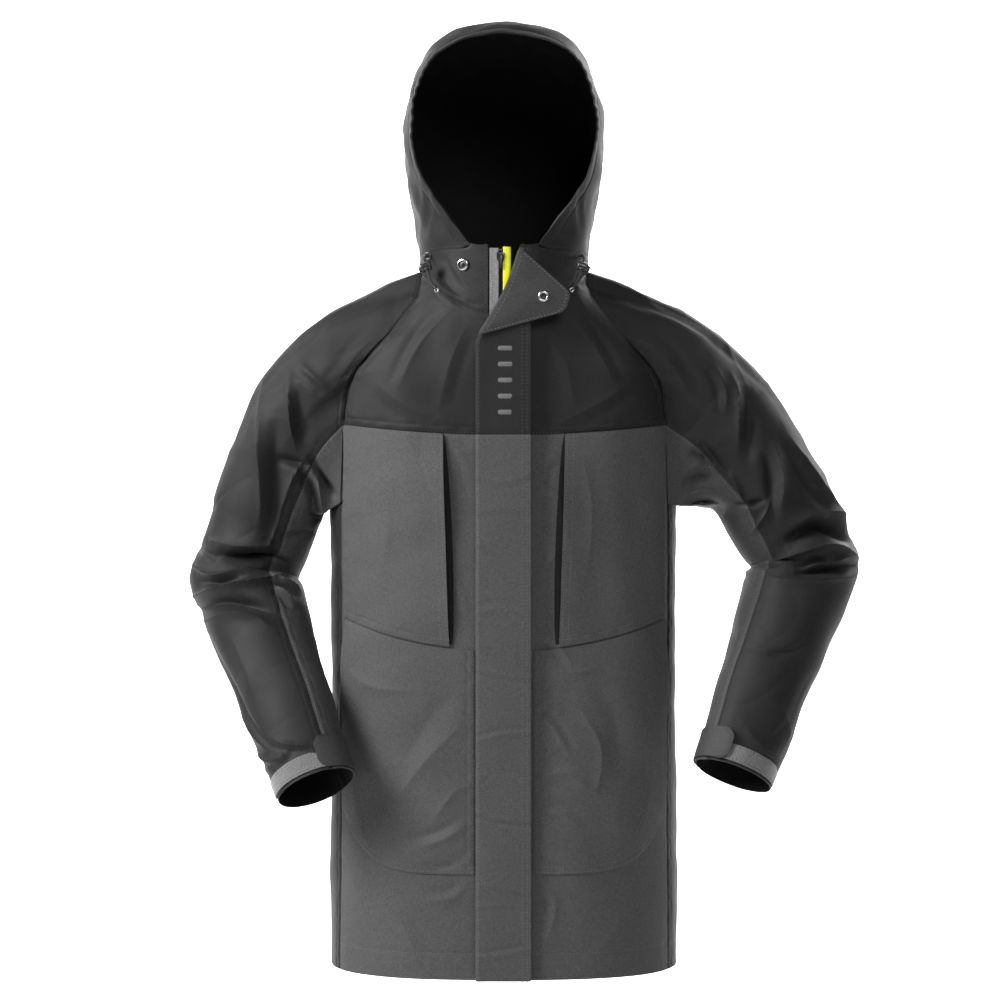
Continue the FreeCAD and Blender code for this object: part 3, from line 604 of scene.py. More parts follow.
def side_seam_angle(z):
    return np.degrees(np.arccos((SIDE_SEAM_X / lookup(HALF_WIDTHS, z)) ** (TORSO_POWER / 2)))


def front_edge(side):
    """Where the front panels and yokes end beside the zip."""
    return ZIP_X + side * (TAPE_HALF + 0.5)


def yoke_z(x):
    return YOKE_Z + YOKE_RISE * (np.abs(x) / SIDE_SEAM_X) ** 2


def collar_seam_z(rise):
    """Height of the collar's seam, from the zip (rise 0) to the side and the back (1)."""
    rise = np.minimum(rise, 1.0)
    return -COLLAR_DROP + (COLLAR_DROP + COLLAR_RISE) * rise * rise * (3 - 2 * rise)


def collar_point(angle, z):
    front = front_y(z) + 1.5
    s, c = np.sin(np.radians(angle)), np.cos(np.radians(angle))
    power = 2 / COLLAR_POWER
    half = (COLLAR_BACK_Y - front) / 2
    x = COLLAR_HALF_WIDTH * np.sign(s) * np.abs(s) ** power
    return np.stack([x, front + half - half * np.sign(c) * np.abs(c) ** power, z + 0 * x], -1)


TILT = math.atan(FRONT_SLOPE)
UP = np.array([0, math.sin(TILT), math.cos(TILT)])
OUT = np.array([0, -math.cos(TILT), math.sin(TILT)])


def on_front(x, up, out):
    x, up, out = np.broadcast_arrays(np.asarray(x, float), up, out)
    return (np.array([0, FRONT_Y0, 0]) + x[..., None] * np.array([1.0, 0, 0])
            + up[..., None] * UP + out[..., None] * OUT)


TORSO_INSIDE = np.array([0.0, 0.0, -400.0])
BODY_FOLDS = [
    ([(-38, -488), (-86, -537), (-136, -604)], 16, 3.0, 0),
    ([(-46, -456), (-84, -492), (-112, -548)], 14, -2.4, 0),
    ([(-38, -608), (-72, -627), (-108, -636)], 8, 2.8, 0.6),
    ([(-38, -640), (-62, -654), (-92, -658)], 7, -1.8, 0),
    ([(-40, -560), (-60, -578), (-84, -612)], 9, 2.0, 0),
    ([(-176, -438), (-150, -456), (-96, -462)], 13, 2.4, 0),
    ([(-172, -540), (-162, -610), (-140, -668)], 12, 2.0, 0),
    ([(-150, -690), (-110, -726), (-96, -775)], 14, 2.0, 0),
    ([(-38, -672), (-58, -690), (-90, -694)], 7, 2.2, 0.6),
    ([(-178, -262), (-166, -300), (-172, -352)], 12, -2.2, 0),
    ([(-150, -190), (-128, -260), (-140, -340)], 20, 2.0, 0),
    ([(-58, -184), (-42, -204), (-38, -226)], 6, 1.8, 0.6),
    ([(-58, -330), (-46, -352), (-40, -384)], 6, 1.6, -0.6),
    ([(34, -392), (58, -406), (78, -432)], 6, 2.0, 0.7),
    ([(36, -428), (74, -440), (112, -432)], 12, 2.2, 0),
    ([(99, -446), (124, -492), (130, -562)], 15, -3.0, 0),
    ([(84, -478), (108, -526), (101, -580)], 10, 2.8, 0),
    ([(150, -470), (163, -556), (150, -632)], 13, 2.4, 0),
    ([(34, -488), (54, -500), (72, -530)], 6, 1.8, -0.6),
    ([(34, -556), (70, -552), (96, -570)], 8, 2.0, 0.6),
    ([(36, -606), (60, -596), (88, -612)], 7, 1.8, -0.6),
    ([(34, -674), (57, -694), (47, -742)], 8, 2.2, 0.5),
    ([(150, -690), (128, -722), (96, -762)], 12, 2.0, 0),
    ([(86, -190), (98, -260), (92, -340)], 16, 2.0, 0),
    ([(130, -200), (150, -270), (140, -350)], 18, -2.2, 0),
    ([(60, -300), (44, -330), (36, -372)], 7, 1.8, 0.6),
    ([(58, -196), (44, -214), (36, -244)], 6, 1.8, -0.6),
]


def drape(p, n, amount=1.0):
    """The body's own soft undulation, shared by every panel so that seams stay shut."""
    flat = p * np.array([1.0, 1.0, 0.35])
    slant = p * np.array([1.0, 1.0, 0.6])
    soft = 1.8 * waves(flat, 150, 3) + 0.7 * waves(p, 60, 5)
    soft = soft + 0.6 * creases(slant, 130, 15) - 0.4 * creases(slant, 90, 17)
    quiet = ease(25, 60, np.abs(p[..., 0] - ZIP_X)) + (p[..., 1] > 0)
    hem = ease(HEM_Z, HEM_Z + 120, p[..., 2]) * 0.6 + 0.4
    height = soft * np.clip(quiet, 0, 1) * hem
    front = np.where(p[..., 1] < 0, 1.0, 0.0)
    height = height + front * np.clip(quiet, 0, 1) * fold_height(p, BODY_FOLDS)
    return p + n * (height * amount)[..., None]


def place_piece(made, body, nodes):
    """Says what a piece rides on and what it replaces."""
    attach(made, body)
    if nodes:
        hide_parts(*nodes)
    return made


def cloth(name, p, n, materials, rows, body, nodes, thickness=1.2, stitch=(3.0, 4.0)):
    """A sheet made from a grid, with rows of stitches given as (edge, distance).

    The materials are those of the outer face, the inner face and the thread; with fewer
    than three both faces are the same. stitch is a stitch's length and the pitch."""
    build = Build()
    add_sheet(build, p, n, thickness, 0, 1 if len(materials) == 3 else 0)
    for edge, gap in rows:
        add_stitches(build, inset(p, n, edge, gap), len(materials) - 1, *stitch)
    return place_piece(build.object(name, materials), body, nodes)


HEM_ROWS = [("low", 28.0), ("low", 30.5)]
HEM_ROW = 29.0            # from the front hem to its one row of stitches
SEAM_ROW = 2.6            # from a panel's edge to the stitches along its seam
YOKE_ROW, YOKE_SECOND_ROW = 2.4, 8.5


def make_front_panels():
    level, share = unit_grid(250, 96)
    for name, side in SIDES.items():
        inner = front_edge(side)
        z = HEM_Z + (yoke_z(inner + (side * SIDE_SEAM_X - inner) * share) - HEM_Z) * level
        p = on_torso(inner + (side * lookup(RAGLAN_SEAM, z) - inner) * share, z)
        n = grid_normals(p, TORSO_INSIDE)
        p = hem_groove(seam_dip(drape(p, n), n, ["right", "high"]), n)
        panel = cloth("front_panel_cloth_" + name, p, n, GREY_SHELL,
                      [("low", HEM_ROW), ("high", SEAM_ROW)], "jacket_body",
                      ["front_panel_" + name])


def collar_base(x, back=False):
    """Depth and height of the collar's seam where it passes x."""
    share = np.clip(np.abs(x) / COLLAR_HALF_WIDTH, 0, 1)
    angle = np.degrees(np.arcsin(share ** (COLLAR_POWER / 2)))
    angle = 180 - angle if back else angle
    z = collar_seam_z(angle / 90)
    return collar_point(angle, z)[..., 1], z


def upper_body(side, x_inner, share, level, back=False):
    """The yoke from its seam (level 0) up to the collar's seam (level 1).

    share runs from x_inner to the raglan seam; the surface leans in to the collar."""
    z_neck = 0 * share
    for _ in range(14):
        x_neck = x_inner + (side * lookup(RAGLAN_SEAM, z_neck) - x_inner) * share
        y_neck, z_neck = collar_base(x_neck, back)
    way = 1 if back else -1
    lean_in = y_neck - torso_y(x_neck, z_neck, way)
    z_low = yoke_z(x_inner + (side * SIDE_SEAM_X - x_inner) * share)
    z = z_low + (z_neck - z_low) * level
    x = x_inner + (side * lookup(RAGLAN_SEAM, z) - x_inner) * share
    y = torso_y(x, z, way) + lean_in * ease(0.3, 1.05, level)
    return np.stack([x, y, z], -1)


YOKE_FOLDS = [
    ([(-60, -30), (-95, -70), (-120, -120)], 9, 2.2, 0.7),
    ([(-40, -45), (-60, -90), (-75, -150)], 10, 1.6, -0.5),
    ([(75, -35), (100, -70), (128, -120)], 9, 2.2, -0.7),
    ([(45, -60), (70, -95), (80, -150)], 10, 1.6, 0.5),
    ([(-150, -110), (-110, -140), (-60, -160)], 10, 1.4, 0.5),
    ([(150, -110), (110, -135), (60, -160)], 10, 1.4, -0.5),
]


def make_front_yokes():
    level, share = unit_grid(120, 100)
    for name, side in SIDES.items():
        p = upper_body(side, front_edge(side), share, level)
        n = grid_normals(p, TORSO_INSIDE)
        p = drape(p, n)
        p = p + n * fold_height(p, YOKE_FOLDS)[..., None]
        cloth("front_yoke_cloth_" + name, seam_dip(p, n, ["right", "low", "high"]), n, BLACK_SHELL,
              [("right", YOKE_ROW), ("right", YOKE_SECOND_ROW), ("low", YOKE_ROW)], "jacket_body",
              ["front_yoke_" + name])


def make_side_panels():
    z = np.linspace(HEM_Z, ARMPIT_Z, 200)[:, None]
    base = torso_angle(side_seam_angle(z) * np.linspace(-1, 1, 60)[None, :], z)
    for name, side in SIDES.items():
        p = base * np.array([side, 1, 1])
        n = grid_normals(p, TORSO_INSIDE)
        p = hem_groove(seam_dip(drape(p, n), n, ["left", "right"]), n)
        cloth("side_panel_cloth_" + name, p, n, BLACK_SHELL, HEM_ROWS, "jacket_body",
              ["side_panel_" + name])


BACK_FOLDS = [
    ([(-120, -330), (-60, -350), (0, -352), (60, -350), (125, -325)], 15, 2.4, 0.6),
    ([(-140, -420), (-80, -520), (-60, -640)], 18, 3.0, 0.5),
    ([(140, -430), (90, -520), (75, -660)], 18, 3.0, -0.5),
    ([(-20, -430), (-10, -540), (-25, -680)], 18, 2.4, 0.5),
    ([(40, -500), (48, -600), (35, -740)], 16, 2.2, -0.4),
    ([(-150, -230), (-100, -260), (-60, -320)], 12, 2.4, -0.6),
    ([(150, -230), (105, -262), (70, -320)], 12, 2.4, 0.6),
]


def make_back():
    across = np.linspace(-1, 1, 130)[None, :]
    z = HEM_Z + (yoke_z(across * SIDE_SEAM_X) - HEM_Z) * np.linspace(0, 1, 230)[:, None]
    p = on_torso(across * lookup(RAGLAN_SEAM, z), z, 1)
    n = grid_normals(p, TORSO_INSIDE)
    p = drape(p, n, 1.3)
    p = seam_dip(p + n * fold_height(p, BACK_FOLDS)[..., None], n, ["left", "right", "high"])
    panel = cloth("back_panel_cloth", hem_groove(p, n), n, GREY_SHELL,
                  HEM_ROWS + [("high", SEAM_ROW)], "jacket_body", ["back_panel"])

    level, share = unit_grid(110, 66)
    right, left = (upper_body(side, 0.0, share, level, back=True) for side in (-1, 1))
    p = np.concatenate([right[:, :0:-1], left], axis=1)
    n = grid_normals(p, TORSO_INSIDE)
    p = seam_dip(drape(p, n), n, ["left", "right", "low", "high"])
    cloth("back_yoke_cloth", p, n, BLACK_SHELL,
          [(edge, gap) for gap in (YOKE_ROW, YOKE_SECOND_ROW) for edge in ("left", "right")]
          + [("low", YOKE_ROW), ("high", YOKE_ROW)], "jacket_body", ["back_yoke"])


HOOD_FRONT_ANGLE = 20.5     # where the hood's front edge meets the collar, from the zip
COLLAR_FOLDS = [
    ([(-84, 30), (-72, 8), (-50, -16)], 6, 1.8, 0.6),
    ([(-62, 38), (-56, 18), (-40, -8)], 5, 1.2, 0.6),
    ([(86, 28), (76, 4), (60, -14)], 6, 1.8, -0.6),
]


def make_collar():
    angle = np.linspace(9, 351, 260)[None, :]
    from_front = np.minimum(angle, 360 - angle)
    base = collar_seam_z(from_front / 90) - 1
    top = COLLAR_TOP + 2 * ease(13, HOOD_FRONT_ANGLE + 1, from_front) ** 2
    z = base + (top - base) * np.linspace(0, 1, 48)[:, None]
    p = collar_point(angle + 0 * z, z)
    n = grid_normals(p, np.array([0.0, -14.0, 10.0]))
    tuck = 2.6 * ease(COLLAR_TOP - 4, COLLAR_TOP - 1, z) * ease(
        HOOD_FRONT_ANGLE, HOOD_FRONT_ANGLE + 4, from_front)
    folds = fold_height(p, COLLAR_FOLDS) * (p[..., 1] < -14)
    calm = 1 - ease(COLLAR_TOP - 18, COLLAR_TOP - 5, z)
    p = p + n * ((0.7 * waves(p, 45, 11) + folds) * calm - tuck)[..., None]
    cloth("collar_cloth", seam_dip(p, n, ["low"]), n, BLACK_SHELL,
          [(edge, 3.0) for edge in ("low", "left", "right")], "jacket_body", ["collar"],
          2.2)


# ---- hood ------------------------------------------------------------------------------
HOOD_LINES = np.array([
    [(-38, -113, 41), (-94, -101, 122), (-105, -93, 196), (-76, -91, 262), (0, -92, 285)],
    [(-86, -72, 44), (-110, -52, 122), (-113, -36, 205), (-80, -28, 284), (0, -28, 308)],
    [(-99, -18, 44), (-108, 28, 118), (-106, 52, 200), (-68, 72, 262), (0, 82, 282)],
    [(-94, 38, 44), (-90, 76, 100), (-78, 104, 160), (-46, 122, 196), (0, 128, 208)],
    [(-70, 68, 44), (-55, 77, 44), (-39, 83, 44), (-20, 87, 44), (0, 88, 44)],
], float)


def hood_grid(v, u):
    mirror = HOOD_LINES[:, -2::-1] * np.array([-1, 1, 1])
    full = np.concatenate([HOOD_LINES, mirror], axis=1)
    lines = np.stack([smooth_line(line, u) for line in full])
    return smooth_line(lines, v)


def seat_on_collar(edge, lift):
    """Where the points of a hood edge lie once they are drawn on to the collar's top."""
    middle = np.array([0.0, -13.6, 0.0])
    angle = np.degrees(np.arctan2(np.abs(edge[:, 0]), middle[1] - edge[:, 1]))
    side = np.where(edge[:, 0] < 0, -1.0, 1.0)
    target = collar_point(side * np.maximum(angle, HOOD_FRONT_ANGLE), COLLAR_TOP + 0 * angle)
    target[:, 2] = COLLAR_TOP - 4 + lift
    return target + 0.4 * unit((target - middle) * np.array([1, 1, 0]))


def meet_collar(p, v, u):
    """Draws the hood's lower edges on to the collar's upper edge, and fades out upwards."""
    for column, near in ((0, 1 - ease(0.15, 0.45, u)), (-1, ease(0.55, 0.85, u))):
        edge = p[:, column].copy()
        move = seat_on_collar(edge, 4 * np.exp(-(v / 0.04) ** 2)) - edge
        fade = (1 - ease(0, 48, p[..., 2] - edge[:, None, 2])) * near[None, :]
        p = p + move[:, None] * fade[..., None]
    edge = p[-1].copy()
    move = seat_on_collar(edge, 0.0) - edge
    fade = (1 - ease(0, 48, p[..., 2] - edge[None, :, 2])) * ease(0.72, 0.95, v)[:, None]
    return p + move[None] * fade[..., None]


HOOD_SEAMS = (0.395, 0.605)     # where the centre panel is sewn to the sides
HOOD_FOLDS = [
    ([(-96, 60), (-92, 100), (-98, 150)], 6, 1.6, 0.6),
    ([(-84, 58), (-80, 96), (-90, 130)], 5, 1.2, -0.6),
    ([(94, 60), (90, 104), (97, 150)], 6, 1.6, -0.6),
    ([(82, 58), (80, 90), (86, 120)], 5, 1.4, 0.6),
    ([(-40, 292), (0, 296), (44, 290)], 7, 1.4, 0.5),
]


def make_hood():
    v = np.linspace(0, 1, 190)
    u = np.linspace(0, 1, 210)
    p = meet_collar(hood_grid(v, u), v, u)
    n = grid_normals(p, np.array([0.0, 0.0, 150.0]))
    from_rim = edge_distances(p)["low"]
    crown = np.sin(np.pi * u)[None, :]
    gathered = sum(np.exp(-((u[None, :] - place) / 0.10) ** 2) for place in (0.27, 0.73))
    pleats = np.sin(u[None, :] * 2 * math.pi * 46 + 1.2 * np.sin(u[None, :] * 40))
    height = 1.3 * waves(p, 70, 21) * ease(0, 40, from_rim) + 0.6 * waves(p, 30, 22)
    height = height + gathered * pleats * 0.8 * np.exp(-(from_rim / 16) ** 2)
    height = height - 1.4 * np.exp(-((from_rim - 14.0) / 1.6) ** 2) * (0.4 + 0.6 * crown)
    height = height + 1.0 * np.exp(-((from_rim - 6.0) / 7.0) ** 2)
    height = height + fold_height(p, HOOD_FOLDS) * (p[..., 1] < 20)
    gaps = edge_distances(p)
    height = height * ease(0, 22, np.minimum(gaps["left"], gaps["right"]))
    p = p + n * height[..., None]
    build = Build()
    add_sheet(build, p, n, 2.0)
    add_stitches(build, inset(p, n, "low", 15.5, 0.04, 0.96))
    for share in HOOD_SEAMS:
        column = int(share * (len(u) - 1))
        for shift in (-2, 2):
            add_stitches(build, (p[22:, column + shift], n[22:, column + shift]))
    for edge in ("left", "right"):
        add_stitches(build, inset(p, n, edge, 3.0))
    made = build.object("hood_cloth", BLACK_SHELL)
    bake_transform(made)
    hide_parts("hood_brim", "hood_side_right", "hood_side_left", "hood_centre", "hood_lower")


# ---- sleeves ---------------------------------------------------------------------------
RING_POINTS = 64          # points round a sleeve, eight to each turn
SHOULDER_ROUND = np.array([1, 0.78, 0.3, 0, 0, 0, 0.3, 0.78])    # share of the shoulder's rise


def ring(centre, along, side, radius, depth=1.0):
    """A section of a sleeve: it starts outside and goes by the front to the inside.

    depth is its size from front to back as a share of its width."""
    forward = np.array([0, -1.0, 0])
    forward = unit(forward - along * (forward @ along))
    outward = np.cross(forward, along)
    if outward[0] * side < 0:
        outward = -outward
    turn = (np.arange(RING_POINTS) * 2 * math.pi / RING_POINTS)[:, None]
    return centre + radius * (np.cos(turn) * outward + depth * np.sin(turn) * forward)


def armhole_half(side, back):
    """From the top of the shoulder along the collar, down the raglan seam and under the arm.

    Returns the points, and the turn at which the yoke's seam ends."""
    way = 1 if back else -1
    top = upper_body(side, 0.0, np.array([1.0]), np.array([1.0]), back)[0]
    start = math.degrees(math.asin((abs(top[0]) / COLLAR_HALF_WIDTH) ** (COLLAR_POWER / 2)))
    angles = np.linspace(90, start, 8)[:-1]
    angles = 180 - angles if back else angles
    neck = collar_point(side * angles, collar_seam_z(angles / 90))
    seam = upper_body(side, 0.0, np.ones(30), np.linspace(1, 0, 30), back)
    z = np.linspace(seam[-1, 2], ARMPIT_Z, 14)[1:]
    lower = on_torso(side * lookup(RAGLAN_SEAM, z), z, way)
    angles = np.linspace(way * side_seam_angle(ARMPIT_Z), 0, 14)[1:]
    under = torso_angle(angles, np.full(13, ARMPIT_Z)) * np.array([side, 1, 1])
    path = np.concatenate([neck, seam, lower, under])
    length = arc_lengths(path)
    even = along_line(np.linspace(0, length[-1], RING_POINTS // 2 + 1), length, path)
    return even, 4 * length[len(neck) + len(seam) - 1] / length[-1]


def sleeve_rings(spec):
    """The sleeve's sections, from the armhole to the cuff."""
    side = spec["side"]
    top, armpit, elbow, cuff = (np.array(spec[key], float)
                                for key in ("top", "armpit", "elbow", "cuff"))
    start = (top + armpit) / 2
    upper, fore = unit(elbow - start), unit(cuff - elbow)
    half = np.linalg.norm(top - armpit) / 2
    first = ring(start, upper, side, half)
    front, back = armhole_half(side, False)[0], armhole_half(side, True)[0]
    hole = np.concatenate([front, back[-2:0:-1]])
    turns = np.arange(RING_POINTS) * 8 / RING_POINTS
    bulge = spec["shoulder"] * smooth_ring(SHOULDER_ROUND, turns, flat=True)[:, None]
    outward = np.array([side * 0.7, 0, 0.72])
    rings = [hole]
    for share in (0.33, 0.66):
        rings.append(hole + (first - hole) * share + outward * bulge * 4 * share * (1 - share))
    above, below = elbow - upper * ELBOW_HALF, elbow + fore * ELBOW_HALF
    rings += [first, ring((start + above) / 2, upper, side, (half + ELBOW_R) / 2),
              ring(above, upper, side, ELBOW_R),
              ring(elbow + unit(upper - fore) * 2, unit(upper + fore), side, ELBOW_R + 2),
              ring(below, fore, side, ELBOW_R)]
    reach = np.linalg.norm(cuff - elbow)
    for share in (0.33, 0.66, 1.0):
        at = ELBOW_HALF + (reach - ELBOW_HALF) * share
        radius = ELBOW_R + (CUFF_R - ELBOW_R) * share ** 0.8
        rings.append(ring(elbow + fore * at, fore, side, radius, 1 - 0.22 * share ** 3))
    return np.array(rings)


JOIN_RING = 5             # the ring above the elbow, where the two sleeve pieces meet
GUSSET_TURNS = {
    "right": [2.35, 2.48, 2.6, 2.7, 2.72, 2.72, 2.74, 2.78, 2.8, 2.82, 2.84],
    "left": [2.35, 2.48, 2.6, 2.7, 2.72, 2.76, 2.95, 3.1, 3.16, 3.2, 3.24],
}

# Folds of the sleeves: (points in x and z, width, height, share of the valley beside it).
# A negative height is a hollow.
SLEEVE_FOLDS = {
    "right": [
        ([(-276, -100), (-280, -165), (-279, -252), (-284, -285)], 9, 4.5, 0),
        ([(-262, -150), (-262, -200), (-262, -262), (-272, -300)], 11, -6.0, 0),
        ([(-245, -98), (-245, -156), (-238, -190)], 7, 3.2, 0),
        ([(-236, -110), (-233, -150), (-229, -184)], 9, -4.0, 0),
        ([(-236, -90), (-218, -105), (-200, -122)], 6, 2.2, 0.5),
        ([(-262, -197), (-240, -202), (-222, -208)], 6, -6.0, 0),
        ([(-224, -192), (-247, -230), (-262, -280), (-277, -311)], 6, 4.0, 0),
        ([(-221, -198), (-204, -228), (-192, -242)], 5, -9.0, 0),
        ([(-231, -214), (-220, -240), (-221, -266)], 5, -8.0, 0),
        ([(-214, -200), (-212, -232), (-206, -262)], 6, 4.0, 0),
        ([(-252, -289), (-238, -286), (-222, -282)], 4, -4.0, 0),
        ([(-366, -298), (-344, -306), (-330, -318)], 6, -3.0, 0),
        ([(-344, -292), (-304, -298), (-262, -298)], 11, 4.5, 0),
        ([(-334, -309), (-300, -313), (-266, -315), (-244, -324)], 8, -12.0, 0),
        ([(-364, -320), (-336, -333), (-305, -331), (-272, -322)], 5, 6.0, 0),
        ([(-352, -340), (-326, -340), (-300, -336)], 5, -5.0, 0),
        ([(-366, -360), (-326, -347), (-283, -340), (-252, -330)], 5, 7.0, 0),
        ([(-362, -376), (-326, -362), (-291, -364), (-258, -374)], 7, -8.0, 0),
        ([(-262, -334), (-248, -342), (-234, -352)], 4, 5.0, 0.7),
        ([(-262, -344), (-250, -354), (-238, -366)], 4, 4.5, 0.7),
        ([(-350, -388), (-315, -376), (-285, -378), (-262, -392)], 6, 4.0, 0),
        ([(-342, -410), (-310, -468), (-284, -506), (-262, -526)], 5, 3.2, -0.7),
        ([(-282, -527), (-266, -536), (-248, -532), (-238, -520)], 5, 3.0, 0.6),
        ([(-258, -512), (-240, -517), (-214, -518)], 5, 3.0, 0.6),
        ([(-310, -400), (-290, -440), (-280, -470)], 14, 2.0, 0),
        ([(-120, -14), (-170, -34), (-225, -62)], 12, 2.0, 0.5),
        ([(-128, -44), (-165, -76), (-195, -120)], 10, 1.8, 0.5),
    ],
    "left": [
        ([(262, -100), (267, -130), (268, -188)], 7, 3.6, 0),
        ([(276, -112), (280, -150), (280, -205)], 9, -4.0, 0),
        ([(308, -176), (319, -219), (317, -264)], 7, 5.0, 0),
        ([(300, -190), (306, -230), (304, -270)], 8, -5.0, 0),
        ([(326, -170), (375, -244), (402, -288)], 10, 4.0, 0.5),
        ([(240, -90), (252, -118), (254, -150)], 7, 2.0, 0.5),
        ([(203, -172), (230, -186), (254, -214)], 5, 4.5, 0),
        ([(212, -188), (226, -196), (242, -206)], 5, -5.0, 0),
        ([(204, -214), (226, -206), (246, -208)], 5, 4.0, 0),
        ([(204, -226), (224, -220), (240, -222)], 5, -5.0, 0),
        ([(204, -242), (222, -232), (244, -232)], 5, 3.6, 0),
        ([(214, -256), (236, -254), (256, -262)], 10, -6.0, 0),
        ([(258, -212), (274, -242), (292, -262)], 5, 5.0, 0),
        ([(264, -252), (282, -250), (300, -246)], 4, -4.5, 0),
        ([(284, -286), (300, -262), (306, -240)], 6, 4.0, 0),
        ([(326, -280), (356, -262), (384, -264), (408, -280)], 11, 4.5, 0),
        ([(322, -296), (354, -278), (380, -280), (408, -296)], 8, -12.0, 0),
        ([(306, -316), (346, -303), (378, -299), (414, -314)], 5, 7.5, 0),
        ([(330, -320), (350, -316), (372, -312)], 4, -5.0, 0),
        ([(330, -328), (378, -326), (414, -321)], 6, -8.0, 0),
        ([(346, -318), (372, -320), (396, -312)], 4, 4.5, 0),
        ([(286, -318), (300, -316), (318, -312)], 4, 4.0, 0.6),
        ([(300, -336), (350, -338), (408, -334)], 8, 4.0, 0),
        ([(296, -420), (326, -417), (344, -409)], 4, -2.6, 0),
        ([(270, -500), (286, -520), (312, -536)], 8, 2.6, 0.6),
        ([(300, -470), (320, -500), (318, -530)], 12, 2.0, 0),
        ([(150, -22), (190, -40), (240, -66)], 12, 2.0, -0.5),
        ([(150, -60), (186, -86), (215, -130)], 10, 1.8, -0.5),
    ],
}


def sleeve_part(rings, t0, t1, edges, rows, columns):
    """Points over part of a sleeve: t counts rings, edges are the two turns at each ring."""
    share = np.linspace(t0, t1, rows) / (len(rings) - 1)
    lines = smooth_line(rings, share)
    lows, highs = (smooth_line(edge, share) for edge in edges)
    p = np.array([smooth_ring(line, np.linspace(a, b, columns) * RING_POINTS / 8)
                  for line, a, b in zip(lines, lows, highs)])
    return p, grid_normals(p, lines.mean(axis=1)[:, None, :])


def crumple(p, n, name):
    """Height of the sleeve's folds: the front has its own, and the back has them shifted."""
    facing = ease(-0.25, 0.35, -n[..., 1])
    rear = fold_height(p + np.array([8.0, 0, 14.0]), SLEEVE_FOLDS[name])
    height = 1.6 * (fold_height(p, SLEEVE_FOLDS[name]) * facing + rear * 0.6 * (1 - facing))
    fine = 1.1 * creases(p, 120, 35) - 0.8 * creases(p, 90, 37)
    return height + fine + 1.2 * waves(p, 110, 31) + 0.3 * waves(p, 48, 32)


ALLOWANCE = 8.0           # how far a sleeve's cloth runs on under the body's edge of the seam


def add_allowance(build, p, n):
    """The sleeve's seam allowance at the body, under the raglan seam; none along the collar."""
    along = unit(p[0] - p[4])
    reach = (0.6 + ALLOWANCE * ease(0, 20, 5.0 - p[0][:, 2]))[:, None]
    strip = np.stack([p[6], p[3], p[0], p[0] + along * reach / 2, p[0] + along * reach])
    under = np.broadcast_to(n[0], strip.shape)
    add_sheet(build, strip - under * 1.9, under, 0.6)


def blend_sleeve(made):
    """Bakes the sleeve part's placing into its mesh."""
    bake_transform(made)


def make_sleeves():
    for name, spec in SLEEVES.items():
        rings = sleeve_rings(spec)
        edge = np.array([armhole_half(spec["side"], False)[1]] + GUSSET_TURNS[name][1:])
        outer, under = (8 - edge, 8 + edge), (edge, 8 - edge)
        for label, upper, edges, nodes in (
                ("raglan_cloth_", True, outer, ["raglan_shoulder_", "upper_sleeve_"]),
                ("gusset_cloth_", True, under, ["underarm_gusset_", "upper_under_sleeve_"]),
                ("forearm_cloth_", False, outer, ["elbow_section_", "forearm_sleeve_"]),
                ("forearm_under_cloth_", False, under, ["forearm_under_sleeve_"])):
            black = edges is outer
            t0, t1, rows = (0, JOIN_RING, 170) if upper else (JOIN_RING, len(rings) - 1, 200)
            p, n = sleeve_part(rings, t0, t1, edges, rows, 150 if black else 70)
            gaps = edge_distances(p)
            if upper:
                calm = ease(0, 45 if black else 20, gaps["low"])
            else:
                calm = 0.35 + 0.65 * ease(0, 50, gaps["high"])
            seams = ["left", "right"] + (["low"] if upper and black else [])
            p = seam_dip(p + n * (crumple(p, n, name) * calm)[..., None], n, seams)
            build = Build()
            add_sheet(build, p, n, 1.4)
            if upper:
                add_allowance(build, p, n)
            lines = [("left", SEAM_ROW), ("right", SEAM_ROW)]
            if upper and black:
                lines += [("low", 3.0, 0.08, 0.92), ("low", 9.0, 0.08, 0.92)]
            elif not upper:
                lines += [("high", 24.0), ("high", 27.0)]
            for line in lines:
                add_stitches(build, inset(p, n, *line))
            made = build.object(label + name, BLACK_SHELL if black else MID_SHELL)
            blend_sleeve(made)
            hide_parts(*(part + name for part in nodes))


# ---- pockets ---------------------------------------------------------------------------
LOWER_LOW = -660.0
MOUTH_X = 65.0            # middle of a chest pocket's mouth
MOUTH_SLANT = 7.0         # the mouth's top lies this much further out than its foot
MOUTH_STAND = {"chest": 8.5, "lower": 6.0}   # how far a pocket's open edge stands off


def pocket_seam(x):
    """Height of the seam between the chest pockets and the lower pockets."""
    return -415 + 32 * (np.abs(x) / 178) ** 2.2


def lower_pocket_foot(x):
    return LOWER_LOW - 4 + 54 * (np.abs(x) / 180) ** 7


def make_pockets():
    for name, side in SIDES.items():
        level, share = unit_grid(140, 76)
        mouth = MOUTH_X + MOUTH_SLANT * (level - 0.5)
        x = side * (184 + (mouth - 184) * share)
        foot, top = pocket_seam(x) + 0.8, yoke_z(x) - 0.8
        add_pocket("chest", on_torso(x, foot + (top - foot) * level), name)
        add_mouth_shade_sheet(name, side)
        level, share = unit_grid(150, 90)
        x = side * (33 + (182 - 33) * share)
        foot, top = lower_pocket_foot(x), pocket_seam(x) - 0.8
        add_pocket("lower", on_torso(x, foot + (top - foot) * level), name)


